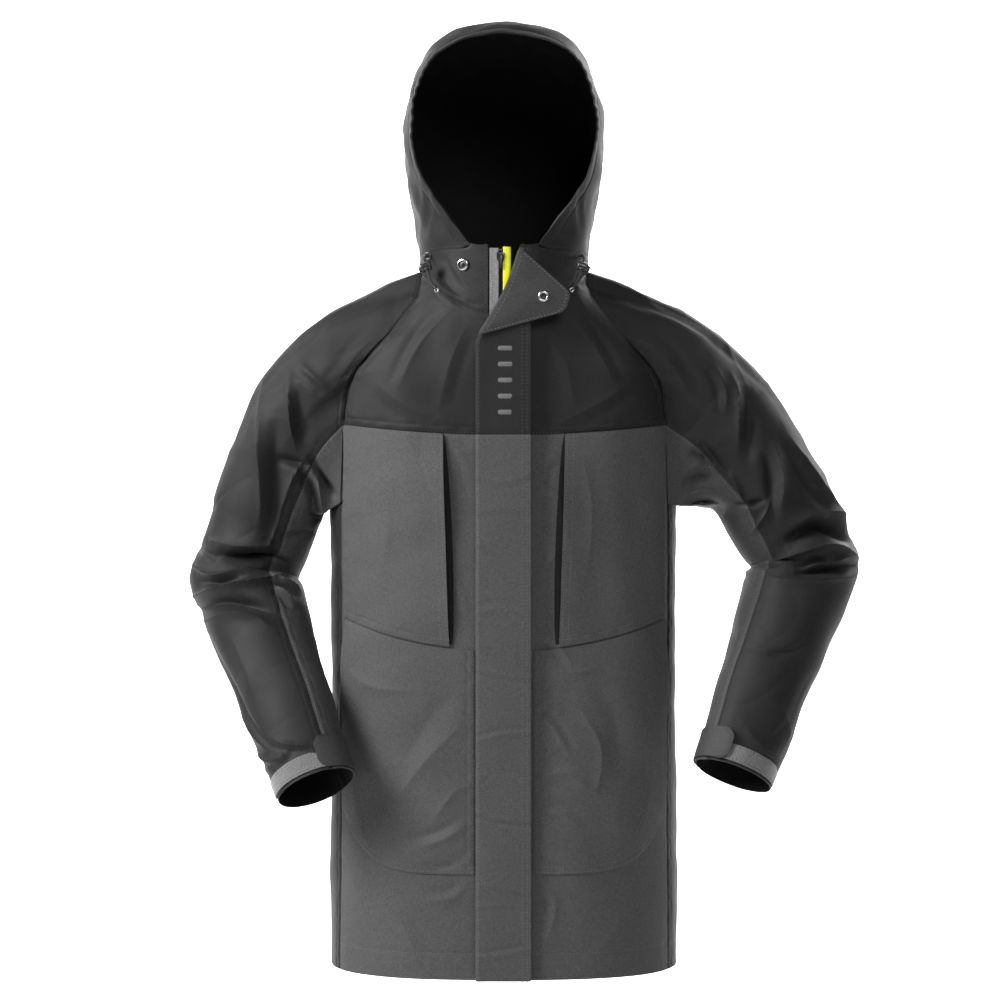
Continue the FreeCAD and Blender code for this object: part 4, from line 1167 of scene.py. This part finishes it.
def add_mouth_shade_sheet(name, side):
    """A near-black sheet in the mouth of a chest pocket, painted shadow of the pocket's open edge,
    widest above its middle.
    """
    level, share = unit_grid(120, 14)
    wide = 7.0 * np.sin(np.pi * np.clip(level * 0.94 + 0.06, 0, 1) ** 0.85) ** 0.5 + 2.5
    x = side * (MOUTH_X + 2.5 + MOUTH_SLANT * (level - 0.5) - wide * (1 - share))
    foot = pocket_seam(67.0)
    p = on_torso(x, foot + 4 + (yoke_z(67.0) - 4 - foot) * level)
    n = grid_normals(p, TORSO_INSIDE)
    cloth("pocket_mouth_shade_sheet_" + name, drape(p, n) + n * 1.2, n, [MOUTH_SHADE], [], "jacket_body", [],
          0.9)


def add_pocket(kind, p, name):
    n = grid_normals(p, TORSO_INSIDE)
    row, column = unit_grid(*p.shape[:2])
    open_edge = np.sin(np.pi * row) ** 0.6 * column ** 2.2
    lift = 1.7 + MOUTH_STAND[kind] * open_edge * (1 + 0.22 * np.sin(row * 9.0 + 1.0))
    middle = np.sin(np.pi * row) * np.sin(np.pi * column)
    lift = lift + 0.9 * (0.5 + 0.5 * waves(p, 75, 41)) * middle
    p = drape(p, n) + n * lift[..., None]
    n = grid_normals(p, TORSO_INSIDE)
    made = cloth(kind + "_pocket_cloth_" + name, seam_dip(p, n, ["low", "left"], 0.6, 2.2), n,
                 GREY_SHELL, [("low", SEAM_ROW), ("low", 8.6), ("left", SEAM_ROW), ("right", 3.0),
                              ("right", 10.0)],
                 "jacket_body", [kind + "_pocket_" + name], 1.1)


# ---- pieces on the flat centre front ---------------------------------------------------
def round_outline(corners, radius, steps=5):
    """A closed outline with every corner rounded; radius is one value or one for each."""
    corners = np.asarray(corners, float)
    radii = np.broadcast_to(radius, (len(corners),))
    out = []
    befores, afters = np.roll(corners, 1, 0), np.roll(corners, -1, 0)
    for before, at, after, r in zip(befores, corners, afters, radii):
        a, b = unit(before - at), unit(after - at)
        half = math.acos(float(np.clip(a @ b, -1, 1))) / 2
        reach = min(r / math.tan(half), 0.48 * min(np.linalg.norm(before - at),
                                                   np.linalg.norm(after - at)))
        for t in np.linspace(0, 1, steps):
            p, q = at + a * reach * (1 - t), at + b * reach * t
            out.append(p + (q - p) * t)
    return np.array(out)


def add_slab(build, outline, low_out, high_out, slot=0, bevel=0.3):
    """A flat piece from an outline of (across, up) points, with its edges rounded."""
    middle = outline.mean(0)
    reach = np.abs(outline - middle).max(0)
    levels = ((1, low_out), (0, low_out + bevel), (0, high_out - bevel),
              (0.3, high_out - bevel * 0.3), (1, high_out))
    rings = [middle + (outline - middle) * (1 - inward * bevel / reach) for inward, _ in levels]
    points = [on_front(ring[:, 0], ring[:, 1], out) for ring, (_, out) in zip(rings, levels)]
    build.add(points, quads(len(levels), len(outline), closed=True), slot)
    build.close(len(outline), len(levels), slot)


def add_box(build, x, up, radius, low_out, high_out, slot=0, bevel=0.3):
    """A slab with rounded corners between two x and two heights."""
    corners = [(x[0], up[0]), (x[1], up[0]), (x[1], up[1]), (x[0], up[1])]
    add_slab(build, round_outline(corners, radius), low_out, high_out, slot, bevel)


def front_sheet(x_low, x_high, up, out, columns):
    """A grid on the centre front; x_low and x_high may change with up, out with both."""
    level = np.ones(len(up))
    share = np.linspace(0, 1, columns)[None, :]
    x = (x_low * level)[:, None] + ((x_high - x_low) * level)[:, None] * share
    up = up[:, None] + 0 * x
    p = on_front(x, up, out(x, up))
    return p, grid_normals(p, TORSO_INSIDE)


# ---- zip -------------------------------------------------------------------------------
ZIP_PITCH = 1.5
TRIM_STITCH = (2.2, 3.2)  # the finer stitches of narrow trims
SLIDER_OUTLINE = [(-4.4, 0), (4.4, 0), (4.4, -7), (2.8, -11), (-2.8, -11), (-4.4, -7)]
PULL_OUTLINE = [(-1.2, -0.9), (1.2, -0.9), (1.9, -14), (1.0, -15.4), (-1.0, -15.4), (-1.9, -14)]
PULL_HOLE = [(0.56, -1.3), (1.1, -1.2), (1.1, 1.2), (0.56, 1.3), (0.56, -1.3)]


def make_zip():
    for name, top, edge, tape in (("right", ZIP_TOP + 4, "left", TAPE),
                                  ("left", -24.0, "right", TAPE_DARK)):
        ends = np.sort([ZIP_X + SIDES[name] * 2.4, ZIP_X + SIDES[name] * (TAPE_HALF + 1.5)])
        p, n = front_sheet(*ends, np.linspace(ZIP_BOTTOM - 6, top, 160),
                           lambda x, up: -0.7 + 0.25 * np.sin(up / 21.0 + x / 9.0), 10)
        cloth("zip_tape_cloth_" + name, p, n, [tape, THREAD_DARK], [(edge, 3.2)], "jacket_body",
              ["zip_tape_" + name], 0.8, TRIM_STITCH)

    teeth = Build()
    across, rise, deep = np.array([1.25, 0, 0]), UP * 0.5, OUT * 0.75
    for side in (-1, 1):
        up = np.arange(ZIP_BOTTOM, ZIP_TOP, ZIP_PITCH) + side * ZIP_PITCH / 4
        middle = on_front(ZIP_X + side * 1.5, up, -0.75)
        add_spindles(teeth, [middle + move for move in (-across, across, rise, deep, -rise, -deep)])
    add_box(teeth, (ZIP_X - 4.2, ZIP_X + 4.2), (ZIP_BOTTOM - 6, ZIP_BOTTOM - 0.6), 1.2, -0.2, 1.2)
    for x in (ZIP_X - 1.6, ZIP_X + 1.6):
        add_box(teeth, (x - 1.3, x + 1.3), (ZIP_TOP - 0.5, ZIP_TOP + 3), 0.6, -1.9, 0.3)
    place_piece(teeth.object("zip_coil", [TEETH], 60), "jacket_body", ["zip_teeth"])

    top = ZIP_TOP - 1
    outline = round_outline([(ZIP_X + x, top + up) for x, up in SLIDER_OUTLINE], 1.3)
    slider = Build()
    add_slab(slider, outline, 0.2, 1.4)
    add_slab(slider, outline, -3.6, -2.4)
    add_box(slider, (ZIP_X - 0.4, ZIP_X + 0.4), (top - 6, top - 1), 0.2, -2.5, 0.3, bevel=0.1)
    for x in (ZIP_X - 2.2, ZIP_X + 1.4):
        add_box(slider, (x, x + 0.8), (top - 5, top - 1), 0.3, 1.3, 3.6, bevel=0.15)
    add_bar(slider, on_front(np.linspace(ZIP_X - 2.2, ZIP_X + 2.2, 4), top - 2.6, 2.6), 0.5)
    place_piece(slider.object("zip_slider_body", [LOCK], 35), "zip_slider", ["zip_slider"])

    top = ZIP_TOP - 3.6
    pull = Build()
    add_slab(pull, round_outline([(ZIP_X + x, top + up) for x, up in PULL_OUTLINE], 0.6), 2.0, 3.2)
    for groove in (-6.0, -8.0, -10.0, -12.0):
        add_bar(pull, on_front(np.linspace(ZIP_X - 1.2, ZIP_X + 1.2, 4), top + groove, 3.15), 0.35,
                count=6)
    add_turned(pull, PULL_HOLE, on_front(ZIP_X, top, 2.6), (1, 0, 0), 16)
    place_piece(pull.object("zip_puller", [LOCK], 35), "zip_pull", ["zip_pull"])


def make_chin_guard():
    level, share = unit_grid(40, 12)
    inner = ZIP_X + 2.6
    x = inner + (front_edge(1) - inner) * share + 0 * level
    foot = -14 - 9 * share
    up = foot + (ZIP_TOP + 5 - foot) * level
    out = 0.2 + 0.9 * np.sin(np.pi * share) ** 0.5 + 0.25 * np.sin(up / 7.0)
    p = on_front(x, up, out)
    cloth("chin_guard_cloth", p, grid_normals(p, np.zeros(3)), [YELLOW, YELLOW], [("left", 1.6)],
          "jacket_body", ["chin_guard"], 0.9, TRIM_STITCH)


def make_placket():
    p, n = front_sheet(-24.0, 18.0, np.linspace(ZIP_BOTTOM - 4, 24, 120),
                       lambda x, up: -8.0 + 0.6 * np.sin(up / 47.0) * np.sin(x / 11.0), 14)
    cloth("placket_cloth", p, n, [BLACK, THREAD_DARK], [("left", 3.0), ("right", 3.0)],
          "jacket_body", ["inner_placket"], 1.4)


# ---- storm flap ------------------------------------------------------------------------
FLAP_CREASES = [
    ([(-46, -434), (-6, -441), (44, -449)], 4, 1.1, 0.8),
    ([(-46, -519), (0, -508), (44, -506)], 4, 1.1, -0.8),
    ([(-46, -590), (-8, -601), (44, -606)], 4, 1.4, 0.9),
    ([(-46, -676), (4, -679), (44, -691)], 4, 1.2, 0.8),
    ([(-46, -706), (-16, -698), (44, -700)], 3, 0.8, 0.8),
    ([(-46, -757), (0, -752), (44, -744)], 4, 1.1, -0.8),
    ([(-46, -290), (-5, -304), (44, -338)], 6, 0.8, 0.6),
    ([(-46, -378), (0, -368), (44, -384)], 6, 0.7, -0.6),
    ([(-46, -216), (0, -226), (44, -210)], 6, 0.7, 0.6),
    ([(-46, -262), (6, -256), (44, -268)], 5, 0.6, 0.6),
]


FOLD_BOW = 6.0            # how far the fold line curves towards the wearer's left


def flap_left_edge(up):
    share = (up - FOLD_A[1]) / (FOLD_B[1] - FOLD_A[1])
    slant = FOLD_A[0] + (FOLD_B[0] - FOLD_A[0]) * share
    slant = slant + FOLD_BOW * np.sin(np.pi * np.clip(share, 0, 1))
    return np.where(up < FOLD_A[1] - 6, FLAP_RIGHT, np.maximum(FLAP_RIGHT, slant))


def flap_depth(x, up):
    """Depth of the flap's outer face, with its soft rise in the middle and its creases."""
    face = FLAP_DEPTH + FLAP_THICK
    share = (x - FLAP_RIGHT) / (FLAP_LEFT - FLAP_RIGHT)
    point = np.stack([x, 0 * x, up], -1)
    crease = fold_height(point, FLAP_CREASES)
    soft = 0.5 * waves(point, 90, 51) * np.clip(share * 4, 0, 1)
    return face + 0.6 * np.sin(np.pi * np.clip(share, 0, 1)) + crease + soft


REFLECTIVE_BARS = (-76, -94, -112, -130, -148)


def make_storm_flap():
    seam_up = YOKE_Z / UP[2]
    build = Build()
    for low_up, high_up, rows, slot, thread, seam in ((HEM_Z - 1, seam_up, 300, 0, 2, "high"),
                                                      (seam_up, FOLD_B[1] - 1, 110, 3, 4, "low")):
        up = np.linspace(low_up, high_up, rows)
        p, n = front_sheet(flap_left_edge(up), FLAP_LEFT + 0.6, up, flap_depth, 40)
        drop = 1.2 * np.exp(-(edge_distances(p)["left"] / 1.6) ** 2)
        drop = drop + 0.8 * np.exp(-(edge_distances(p)[seam] / 2.2) ** 2)
        p = p - n * drop[..., None]
        add_sheet(build, p, n, FLAP_THICK, slot, slot)
        for edge, gap in (("right", 4.0), ("right", 9.5), ("left", 4.0)):
            add_stitches(build, inset(p, n, edge, gap), thread)
        p, n = front_sheet(FLAP_LEFT - 1.6, FLAP_LEFT + 0.4, up, lambda x, up: 6.4 + 0 * x, 3)
        add_sheet(build, p, n, 6.0, slot, slot)
    for up in REFLECTIVE_BARS:
        depth = float(flap_depth(np.array([[0.0]]), np.array([[float(up)]]))[0, 0])
        add_box(build, (-7, 9), (up - 2.6, up + 2.6), 2.2, depth - 0.4, depth + 0.25, 5, 0.1)
    made = build.object("storm_flap_cloth", GREY_SHELL + [BLACK, THREAD_DARK, REFLECT])
    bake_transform(made)
    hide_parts("storm_flap", "storm_flap_bend")


def lean(points):
    """Turns points of the folded corner about the fold line, towards the chest."""
    a, b = (on_front(*end, 0.0) for end in (FOLD_A, FOLD_B))
    origin = on_front(*FOLD_A, FOLD_DEPTH)
    axis = unit(b - a)
    angle = math.radians(2.0)
    rel = points - origin
    turned = (rel * math.cos(angle) + np.cross(axis, rel) * math.sin(angle)
              + axis * (rel @ axis)[..., None] * (1 - math.cos(angle)))
    return origin + turned


CORNER_STEPS = 14         # points round each corner of the folded corner's outline
CURL_RADIUS = 2.1
CURL_COLUMNS = 9
SOCKET_PLACE = (44.0, -18.0)
SOCKET_PROFILE = [(0.2, 1.0), (1.1, 1.5), (2.0, 1.6), (2.1, 0.6), (2.4, 0.2), (3.1, 0.2),
                  (3.3, 1.6), (3.8, 2.5), (4.6, 2.8), (5.6, 2.5), (6.3, 1.6), (6.5, 0.5),
                  (6.0, -0.4)]
CAP_PROFILE = [(0.2, 1.9), (3.0, 1.8), (5.6, 1.3), (6.7, 0.5), (6.9, -0.2), (6.0, -0.6)]
STUD_PROFILE = [(0.2, 2.2), (1.3, 2.1), (1.9, 1.6), (1.8, 0.7), (2.6, 0.5), (4.0, 0.5),
                (4.4, 1.4), (5.0, 2.3), (5.7, 2.3), (6.4, 1.7), (7.1, 1.1), (7.2, 0.4),
                (6.6, -0.6)]


def corner_grid(share, across):
    """The folded corner and the round curl along its fold, which takes the first columns."""
    a, b = FOLD_A, FOLD_B
    rim = round_outline([a, (69, -35), (75, -14), b], [0.1, 16, 11, 0.1], CORNER_STEPS)
    rim = rim[CORNER_STEPS - 1:len(rim) - CORNER_STEPS + 1]
    steps = arc_lengths(rim)
    outer = along_line(share * steps[-1], steps, rim)
    fold = a + (b - a) * share[:, None]
    fold = fold + np.array([FOLD_BOW, 0]) * np.sin(np.pi * share)[:, None]
    flat = fold[:, None] + (outer - fold)[:, None] * across[..., None]
    point = np.stack([flat[..., 0], 0 * flat[..., 0], flat[..., 1]], -1)
    middle = np.sin(np.pi * share)[:, None] * np.sin(np.pi * across ** 0.8)
    out = FOLD_DEPTH + 0.8 + 2.2 * middle + 0.6 * waves(point, 40, 61) * middle
    p = lean(on_front(flat[..., 0], flat[..., 1], out))
    turn = np.linspace(-math.pi, 0, CURL_COLUMNS + 1)[None, :-1]
    away = unit(b - a)[::-1] * np.array([-1, 1])
    ends = np.clip(np.sin(np.pi * np.clip(share, 0.02, 0.98)) * 6, 0.25, 1)[:, None]
    flat = fold[:, None] + away * (CURL_RADIUS * np.sin(-turn) * ends)[..., None]
    out = FOLD_DEPTH + 0.8 - CURL_RADIUS * (1 - np.cos(turn)) * ends
    return np.concatenate([lean(on_front(flat[..., 0], flat[..., 1], out)), p], 1)


def make_flap_corner():
    p = corner_grid(np.linspace(0, 1, 110), np.linspace(0, 1, 70)[None, :])
    n = grid_normals(p, on_front(0.0, -40.0, -60.0))
    build = Build()
    add_sheet(build, p, n, 1.5, 0, 0)
    p, n = p[:, CURL_COLUMNS:], n[:, CURL_COLUMNS:]
    for line in (("right", 3.2, 0.06, 0.94), ("right", 4.4, 0.06, 0.94), ("left", 4.0, 0.1, 0.9)):
        add_stitches(build, inset(p, n, *line), 1)
    place_piece(build.object("flap_corner_cloth", [CORNER, THREAD_MID]), "flap_corner",
                ["flap_corner"])

    foot, above = (lean(on_front(*SOCKET_PLACE, FOLD_DEPTH + out)[None])[0] for out in (0, 1))
    axis = above - foot
    centre = (foot + node_centre("snap_socket")) / 2
    snap_piece("snap_socket_ring", centre + axis * 1.2, axis, SOCKET_PROFILE, "flap_corner",
               "snap_socket", 3.4)
    snap_piece("snap_cap", centre - axis * 1.4, -axis, CAP_PROFILE, "flap_corner", "snap_socket")


SNAP_COUNT = 40           # faces round a press stud


def snap_piece(label, centre, axis, profile, body, node_name, dark_radius=0.0):
    """A turned half of the press stud; its faces within dark_radius are in shadowed metal."""
    build = Build()
    radius = np.array([(a[0] + b[0]) / 2 for a, b in zip(profile, profile[1:])])
    add_turned(build, profile, centre, axis, SNAP_COUNT,
               np.repeat((radius < dark_radius).astype(int), SNAP_COUNT))
    build.close(SNAP_COUNT, len(profile))
    place_piece(build.object(label, [METAL, METAL_DARK], 50), body, [node_name])


def make_snap_stud():
    centre = node_centre("snap_stud")
    angle = math.degrees(math.asin(-(abs(centre[0]) / COLLAR_HALF_WIDTH) ** (COLLAR_POWER / 2)))
    foot, before, after = (collar_point(angle + turn, centre[2]) for turn in (0, -4, 4))
    out = unit(np.cross(before - after, np.array([0, 0, 1.0])))
    if out[1] > 0:
        out = -out
    snap_piece("snap_stud_ring", foot, out, STUD_PROFILE, "jacket_body", "snap_stud", 4.3)


PATCHES = (-225, -300, -385, -470, -555, -640, -725)     # heights of the lower ends


def make_patches():
    for label, x, out, shift, tall, body, node_name, slot_name in (
            ("flap_patches", (-30, -18), (FLAP_DEPTH - 1.3, FLAP_DEPTH - 0.1), 0, 40,
             "storm_flap", "flap_hook_patches", "hook_tape"),
            ("front_patches", (-31, -17), (0.3, 1.6), -1, 42,
             "jacket_body", "front_loop_patches", "loop_tape")):
        build = Build()
        for foot in PATCHES:
            add_box(build, x, (foot + shift, foot + shift + tall), 2.0, *out, 0, 0.35)
        place_piece(build.object(label, [HOOK], 50), body, [node_name])


# ---- hood cords ------------------------------------------------------------------------
CORD_RADIUS = 1.4
CORD_ROUTE = [(-86.5, -69.0, 33.0), (-89.5, -75.5, 32.6), (-91.0, -82.5, 30.0),
              (-90.2, -88.5, 24.5), (-85.5, -103.5, 7.5), (-82.5, -108.5, -0.5),
              (-77.5, -110.5, -7.5)]
LOCK_SHARE = 0.36


CORD_END_PROFILE = [(0.3, -2.2), (1.6, -2.0), (2.0, -1.0), (2.0, 0.2), (1.5, 1.0), (0.3, 1.2)]
BARREL_PROFILE = [(0.4, -6.3), (3.6, -6.3), (4.9, -5.8), (5.5, -4.8), (5.5, -2.9), (4.9, -2.6),
                  (4.9, -1.9), (5.5, -1.6), (5.5, 2.6), (4.9, 2.9), (4.9, 3.5), (5.5, 3.8),
                  (5.5, 5.4), (5.0, 6.1), (4.1, 6.3), (3.9, 3.1), (0.4, 2.9)]
MOUTH_PROFILE = [(1.9, 4.6), (1.9, 5.9), (2.5, 6.0), (2.9, 5.6), (3.0, 4.6)]
BUTTON_PROFILE = [(3.6, 5.0), (3.6, 8.4), (3.2, 8.85), (2.4, 9.0), (1.2, 8.8), (0.2, 8.7)]
EYELET_PROFILE = [(3.6 + np.cos(t), np.sin(t)) for t in np.linspace(0, 2 * math.pi, 13)]


def make_cord_line(name, route):
    label = "hood_cord_line_" + name
    curve = bpy.data.curves.new(label, "CURVE")
    curve.dimensions = "3D"
    curve.bevel_depth = CORD_RADIUS * MM
    curve.bevel_resolution = 4
    curve.use_fill_caps = True
    spline = curve.splines.new("NURBS")
    spline.points.add(len(route) - 1)
    for point, place in zip(spline.points, route):
        point.co = (*(place * MM), 1)
    spline.order_u = 3
    spline.use_endpoint_u = True
    spline.resolution_u = 12
    curve.materials.append(CORD)
    cord = bpy.data.objects.new(label, curve)
    bpy.context.collection.objects.link(cord)
    return place_piece(cord, "jacket_body", ["hood_cord_" + name])


def make_cord_end(name, route):
    """The end knot with its metal ring."""
    tail = unit(route[-1] - route[-2])
    build = Build()
    turn = np.linspace(0, 2 * math.pi, 28)[:, None]
    u = unit(np.cross(tail, np.array([0, 1.0, 0.3])))
    loop = route[-1] + tail * 2.4 + 2.0 * (np.cos(turn) * u + np.sin(turn) * tail)
    add_bar(build, loop, 0.75, 0, 10, normal=tuple(np.cross(u, tail)))
    add_turned(build, CORD_END_PROFILE, route[-1] - tail * 0.2, tail, 18, 1)
    return place_piece(build.object("cord_end_ring_" + name, [METAL, LOCK], 50), "jacket_body",
                       [])


def make_cord_lock(name, route, flip):
    """The barrel and the button of a cord lock, across the straight part of the cord."""
    along = unit(route[4] - route[3])
    middle = route[3] + (route[4] - route[3]) * LOCK_SHARE
    across = np.array([-0.93, 0.36, 0]) * flip
    across = unit(across - along * (across @ along))
    barrel, press = Build(), Build()
    add_turned(barrel, BARREL_PROFILE, middle, across, 36)
    for way in (-1, 1):
        add_turned(barrel, MOUTH_PROFILE, middle, along * way, 24)
    add_turned(press, BUTTON_PROFILE, middle, across, 32)
    return [place_piece(build.object(label + name, [LOCK], 45), body + name, [body + name])
            for build, label, body in ((barrel, "cord_lock_barrel_", "cord_lock_"),
                                       (press, "cord_lock_press_", "cord_lock_button_"))]


def make_cords():
    eyelets = Build()
    for name, side in SIDES.items():
        flip = np.array([-side, 1.0, 1.0])
        route = np.array(CORD_ROUTE) * flip
        cord = make_cord_line(name, route)
        tip = make_cord_end(name, route)
        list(make_cord_lock(name, route, flip))
        out = unit(route[1] - route[0])
        add_turned(eyelets, EYELET_PROFILE, route[0] + out * 1.9, out, 32)
    place_piece(eyelets.object("cord_eyelet_rings", [EYELET], 50), "jacket_body",
                ["cord_eyelets"])


def make_hanger_loop():
    near, far = low("hanger_loop"), high("hanger_loop")
    x = np.linspace(near[0], far[0], 40)
    half = (far[0] - near[0]) / 2
    bow = np.sqrt(np.clip(1 - (np.abs(x) / half) ** 4, 0, 1))
    z = np.linspace(near[2], far[2], 5)[:, None]
    p = np.stack(np.broadcast_arrays(x, far[1] + 0.6 - (far[1] - near[1]) * bow, z), -1)
    n = grid_normals(p, np.array([0.0, 200.0, near[2]]))
    cloth("hanger_loop_tape", p, n, [TAPE_DARK], [], "jacket_body", ["hanger_loop"],
          1.3)


# ---- cuffs -----------------------------------------------------------------------------
CUFF_LOOP = (0.1, 2.9)
CUFF_TAB = (2.45, 4.6)


def cuff_grid(spec, start, stop, turn_low, turn_high, lift, rows, columns):
    """A band round the cuff, between two shares of the way from elbow to cuff."""
    rings = sleeve_rings(spec)[7:]
    elbow, cuff = np.array(spec["elbow"], float), np.array(spec["cuff"], float)
    reach = np.linalg.norm(cuff - elbow)
    shares = (reach * np.linspace(start, stop, rows) - ELBOW_HALF) / (reach - ELBOW_HALF)
    lines = smooth_line(rings, shares * 0.99)
    turns = np.linspace(turn_low, turn_high, columns) * RING_POINTS / 8
    p = np.array([smooth_ring(line, turns) for line in lines])
    centres = lines.mean(axis=1)[:, None, :]
    n = grid_normals(p, centres)
    return p + n * lift, n, centres


def make_cuffs():
    for name, spec in SLEEVES.items():
        p, n, _ = cuff_grid(spec, 0.928, 0.996, *CUFF_LOOP, 1.5, 30, 80)
        row = edge_distances(p)["low"]
        p = p + n * (0.35 * waves(p, 24, 71) - 0.8 * np.exp(-(row / 2) ** 2))[..., None]
        cloth("cuff_loop_cloth_" + name, p, n, [LOOP, THREAD_DARK],
              [(edge, 2.4) for edge in ("low", "high", "left", "right")], "forearm_" + name,
              ["cuff_loop_band_" + name], 1.3)
        p, n, centres = cuff_grid(spec, 0.872, 1.0, *CUFF_TAB, 0.0, 40, 90)
        from_free = edge_distances(p)["left"]
        level = np.linspace(-1, 1, len(p))[:, None]
        lift = 3.0 + 1.4 * np.exp(-(from_free / 14) ** 2) + 0.5 * waves(p, 40, 73)
        rounding = 9.0 * np.clip((np.abs(level) - 0.45) / 0.55, 0, 1) ** 2
        p = p + n * lift[..., None]
        pull = np.clip(1 - from_free / 26, 0, 1) * rounding
        p = p + unit(np.gradient(p, axis=1)) * pull[..., None]
        # The tab's outer face is black cloth made lighter as painted light.
        cloth("cuff_tab_cloth_" + name, p, grid_normals(p, centres), [TAB_PAINTED_LIGHT, HOOK, THREAD_DARK],
              [(edge, 3.2) for edge in ("low", "high", "left")], "cuff_tab_" + name,
              ["cuff_tab_" + name], 1.9)


# ---- camera, light and floor -----------------------------------------------------------
FLOOR_Z, FLOOR_HALF = -1400.0, 9000
WALL_Y, WALL_CURVE, WALL_TOP = 4600.0, 1500.0, 6500
CAMERA_PLACE = (-0.0047, -3.0, -0.246)
# Name, place, what it points at, width and height in metres, watts.
LAMPS = [
    ("key", (-2.4, -1.15, 1.35), (0, 0, -0.05), (1.0, 1.6), 196),
    ("front", (0.8, -2.3, 1.5), (0, 0, 0.1), (1.2, 1.2), 32),
    ("rim", (2.3, 1.0, 0.8), (0, 0, -0.1), (0.8, 1.8), 14),
    ("back", (1.9, 2.7, 1.9), (0, 0, -0.2), (1.2, 1.2), 40),
    ("wall_right", (3.0, 3.5, 2.2), (1.0, 6.1, 0.0), (1.5, 1.5), 420),
    ("wall_left", (-3.0, 3.5, 2.2), (-1.0, 6.1, 0.0), (1.5, 1.5), 420),
]


def make_stage():
    scene = bpy.context.scene
    camera = bpy.data.cameras.new("camera")
    camera.lens = 92.3
    camera.sensor_width = 36.0
    eye = bpy.data.objects.new("camera", camera)
    eye.location = CAMERA_PLACE
    eye.rotation_euler = (math.radians(90), 0, 0)
    bpy.context.collection.objects.link(eye)
    scene.camera = eye

    profile = [(-FLOOR_HALF, FLOOR_Z), (WALL_Y, FLOOR_Z)]
    for turn in np.linspace(0, math.pi / 2, 14)[1:]:
        profile.append((WALL_Y + WALL_CURVE * math.sin(turn),
                        FLOOR_Z + WALL_CURVE * (1 - math.cos(turn))))
    profile.append((WALL_Y + WALL_CURVE, WALL_TOP))
    build = Build()
    build.add([[(x, y, z) for x in (-FLOOR_HALF, FLOOR_HALF)] for y, z in profile],
              quads(len(profile), 2))
    white = new_material("backdrop", (0.93, 0.93, 0.93), 0.9)[0]
    build.object("backdrop_floor", [white])

    world = bpy.data.worlds.new("studio")
    world.use_nodes = True
    background = world.node_tree.nodes["Background"]
    background.inputs[0].default_value = (1, 1, 1, 1)
    background.inputs[1].default_value = 0.12
    scene.world = world
    for name, place, aim, size, power in LAMPS:
        light = bpy.data.lights.new(name, "AREA")
        light.shape = "RECTANGLE"
        light.size, light.size_y = size
        light.energy = power
        made = bpy.data.objects.new(name, light)
        made.location = place
        made.rotation_euler = (Vector(aim) - Vector(place)).to_track_quat("-Z", "Y").to_euler()
        bpy.context.collection.objects.link(made)
    scene.view_settings.view_transform = "Standard"


make_stage()
make_front_panels()
make_front_yokes()
make_side_panels()
make_back()
make_collar()
make_hood()
make_sleeves()
make_pockets()
make_zip()
make_chin_guard()
make_placket()
make_storm_flap()
make_flap_corner()
make_snap_stud()
make_patches()
make_cords()
make_hanger_loop()
make_cuffs()
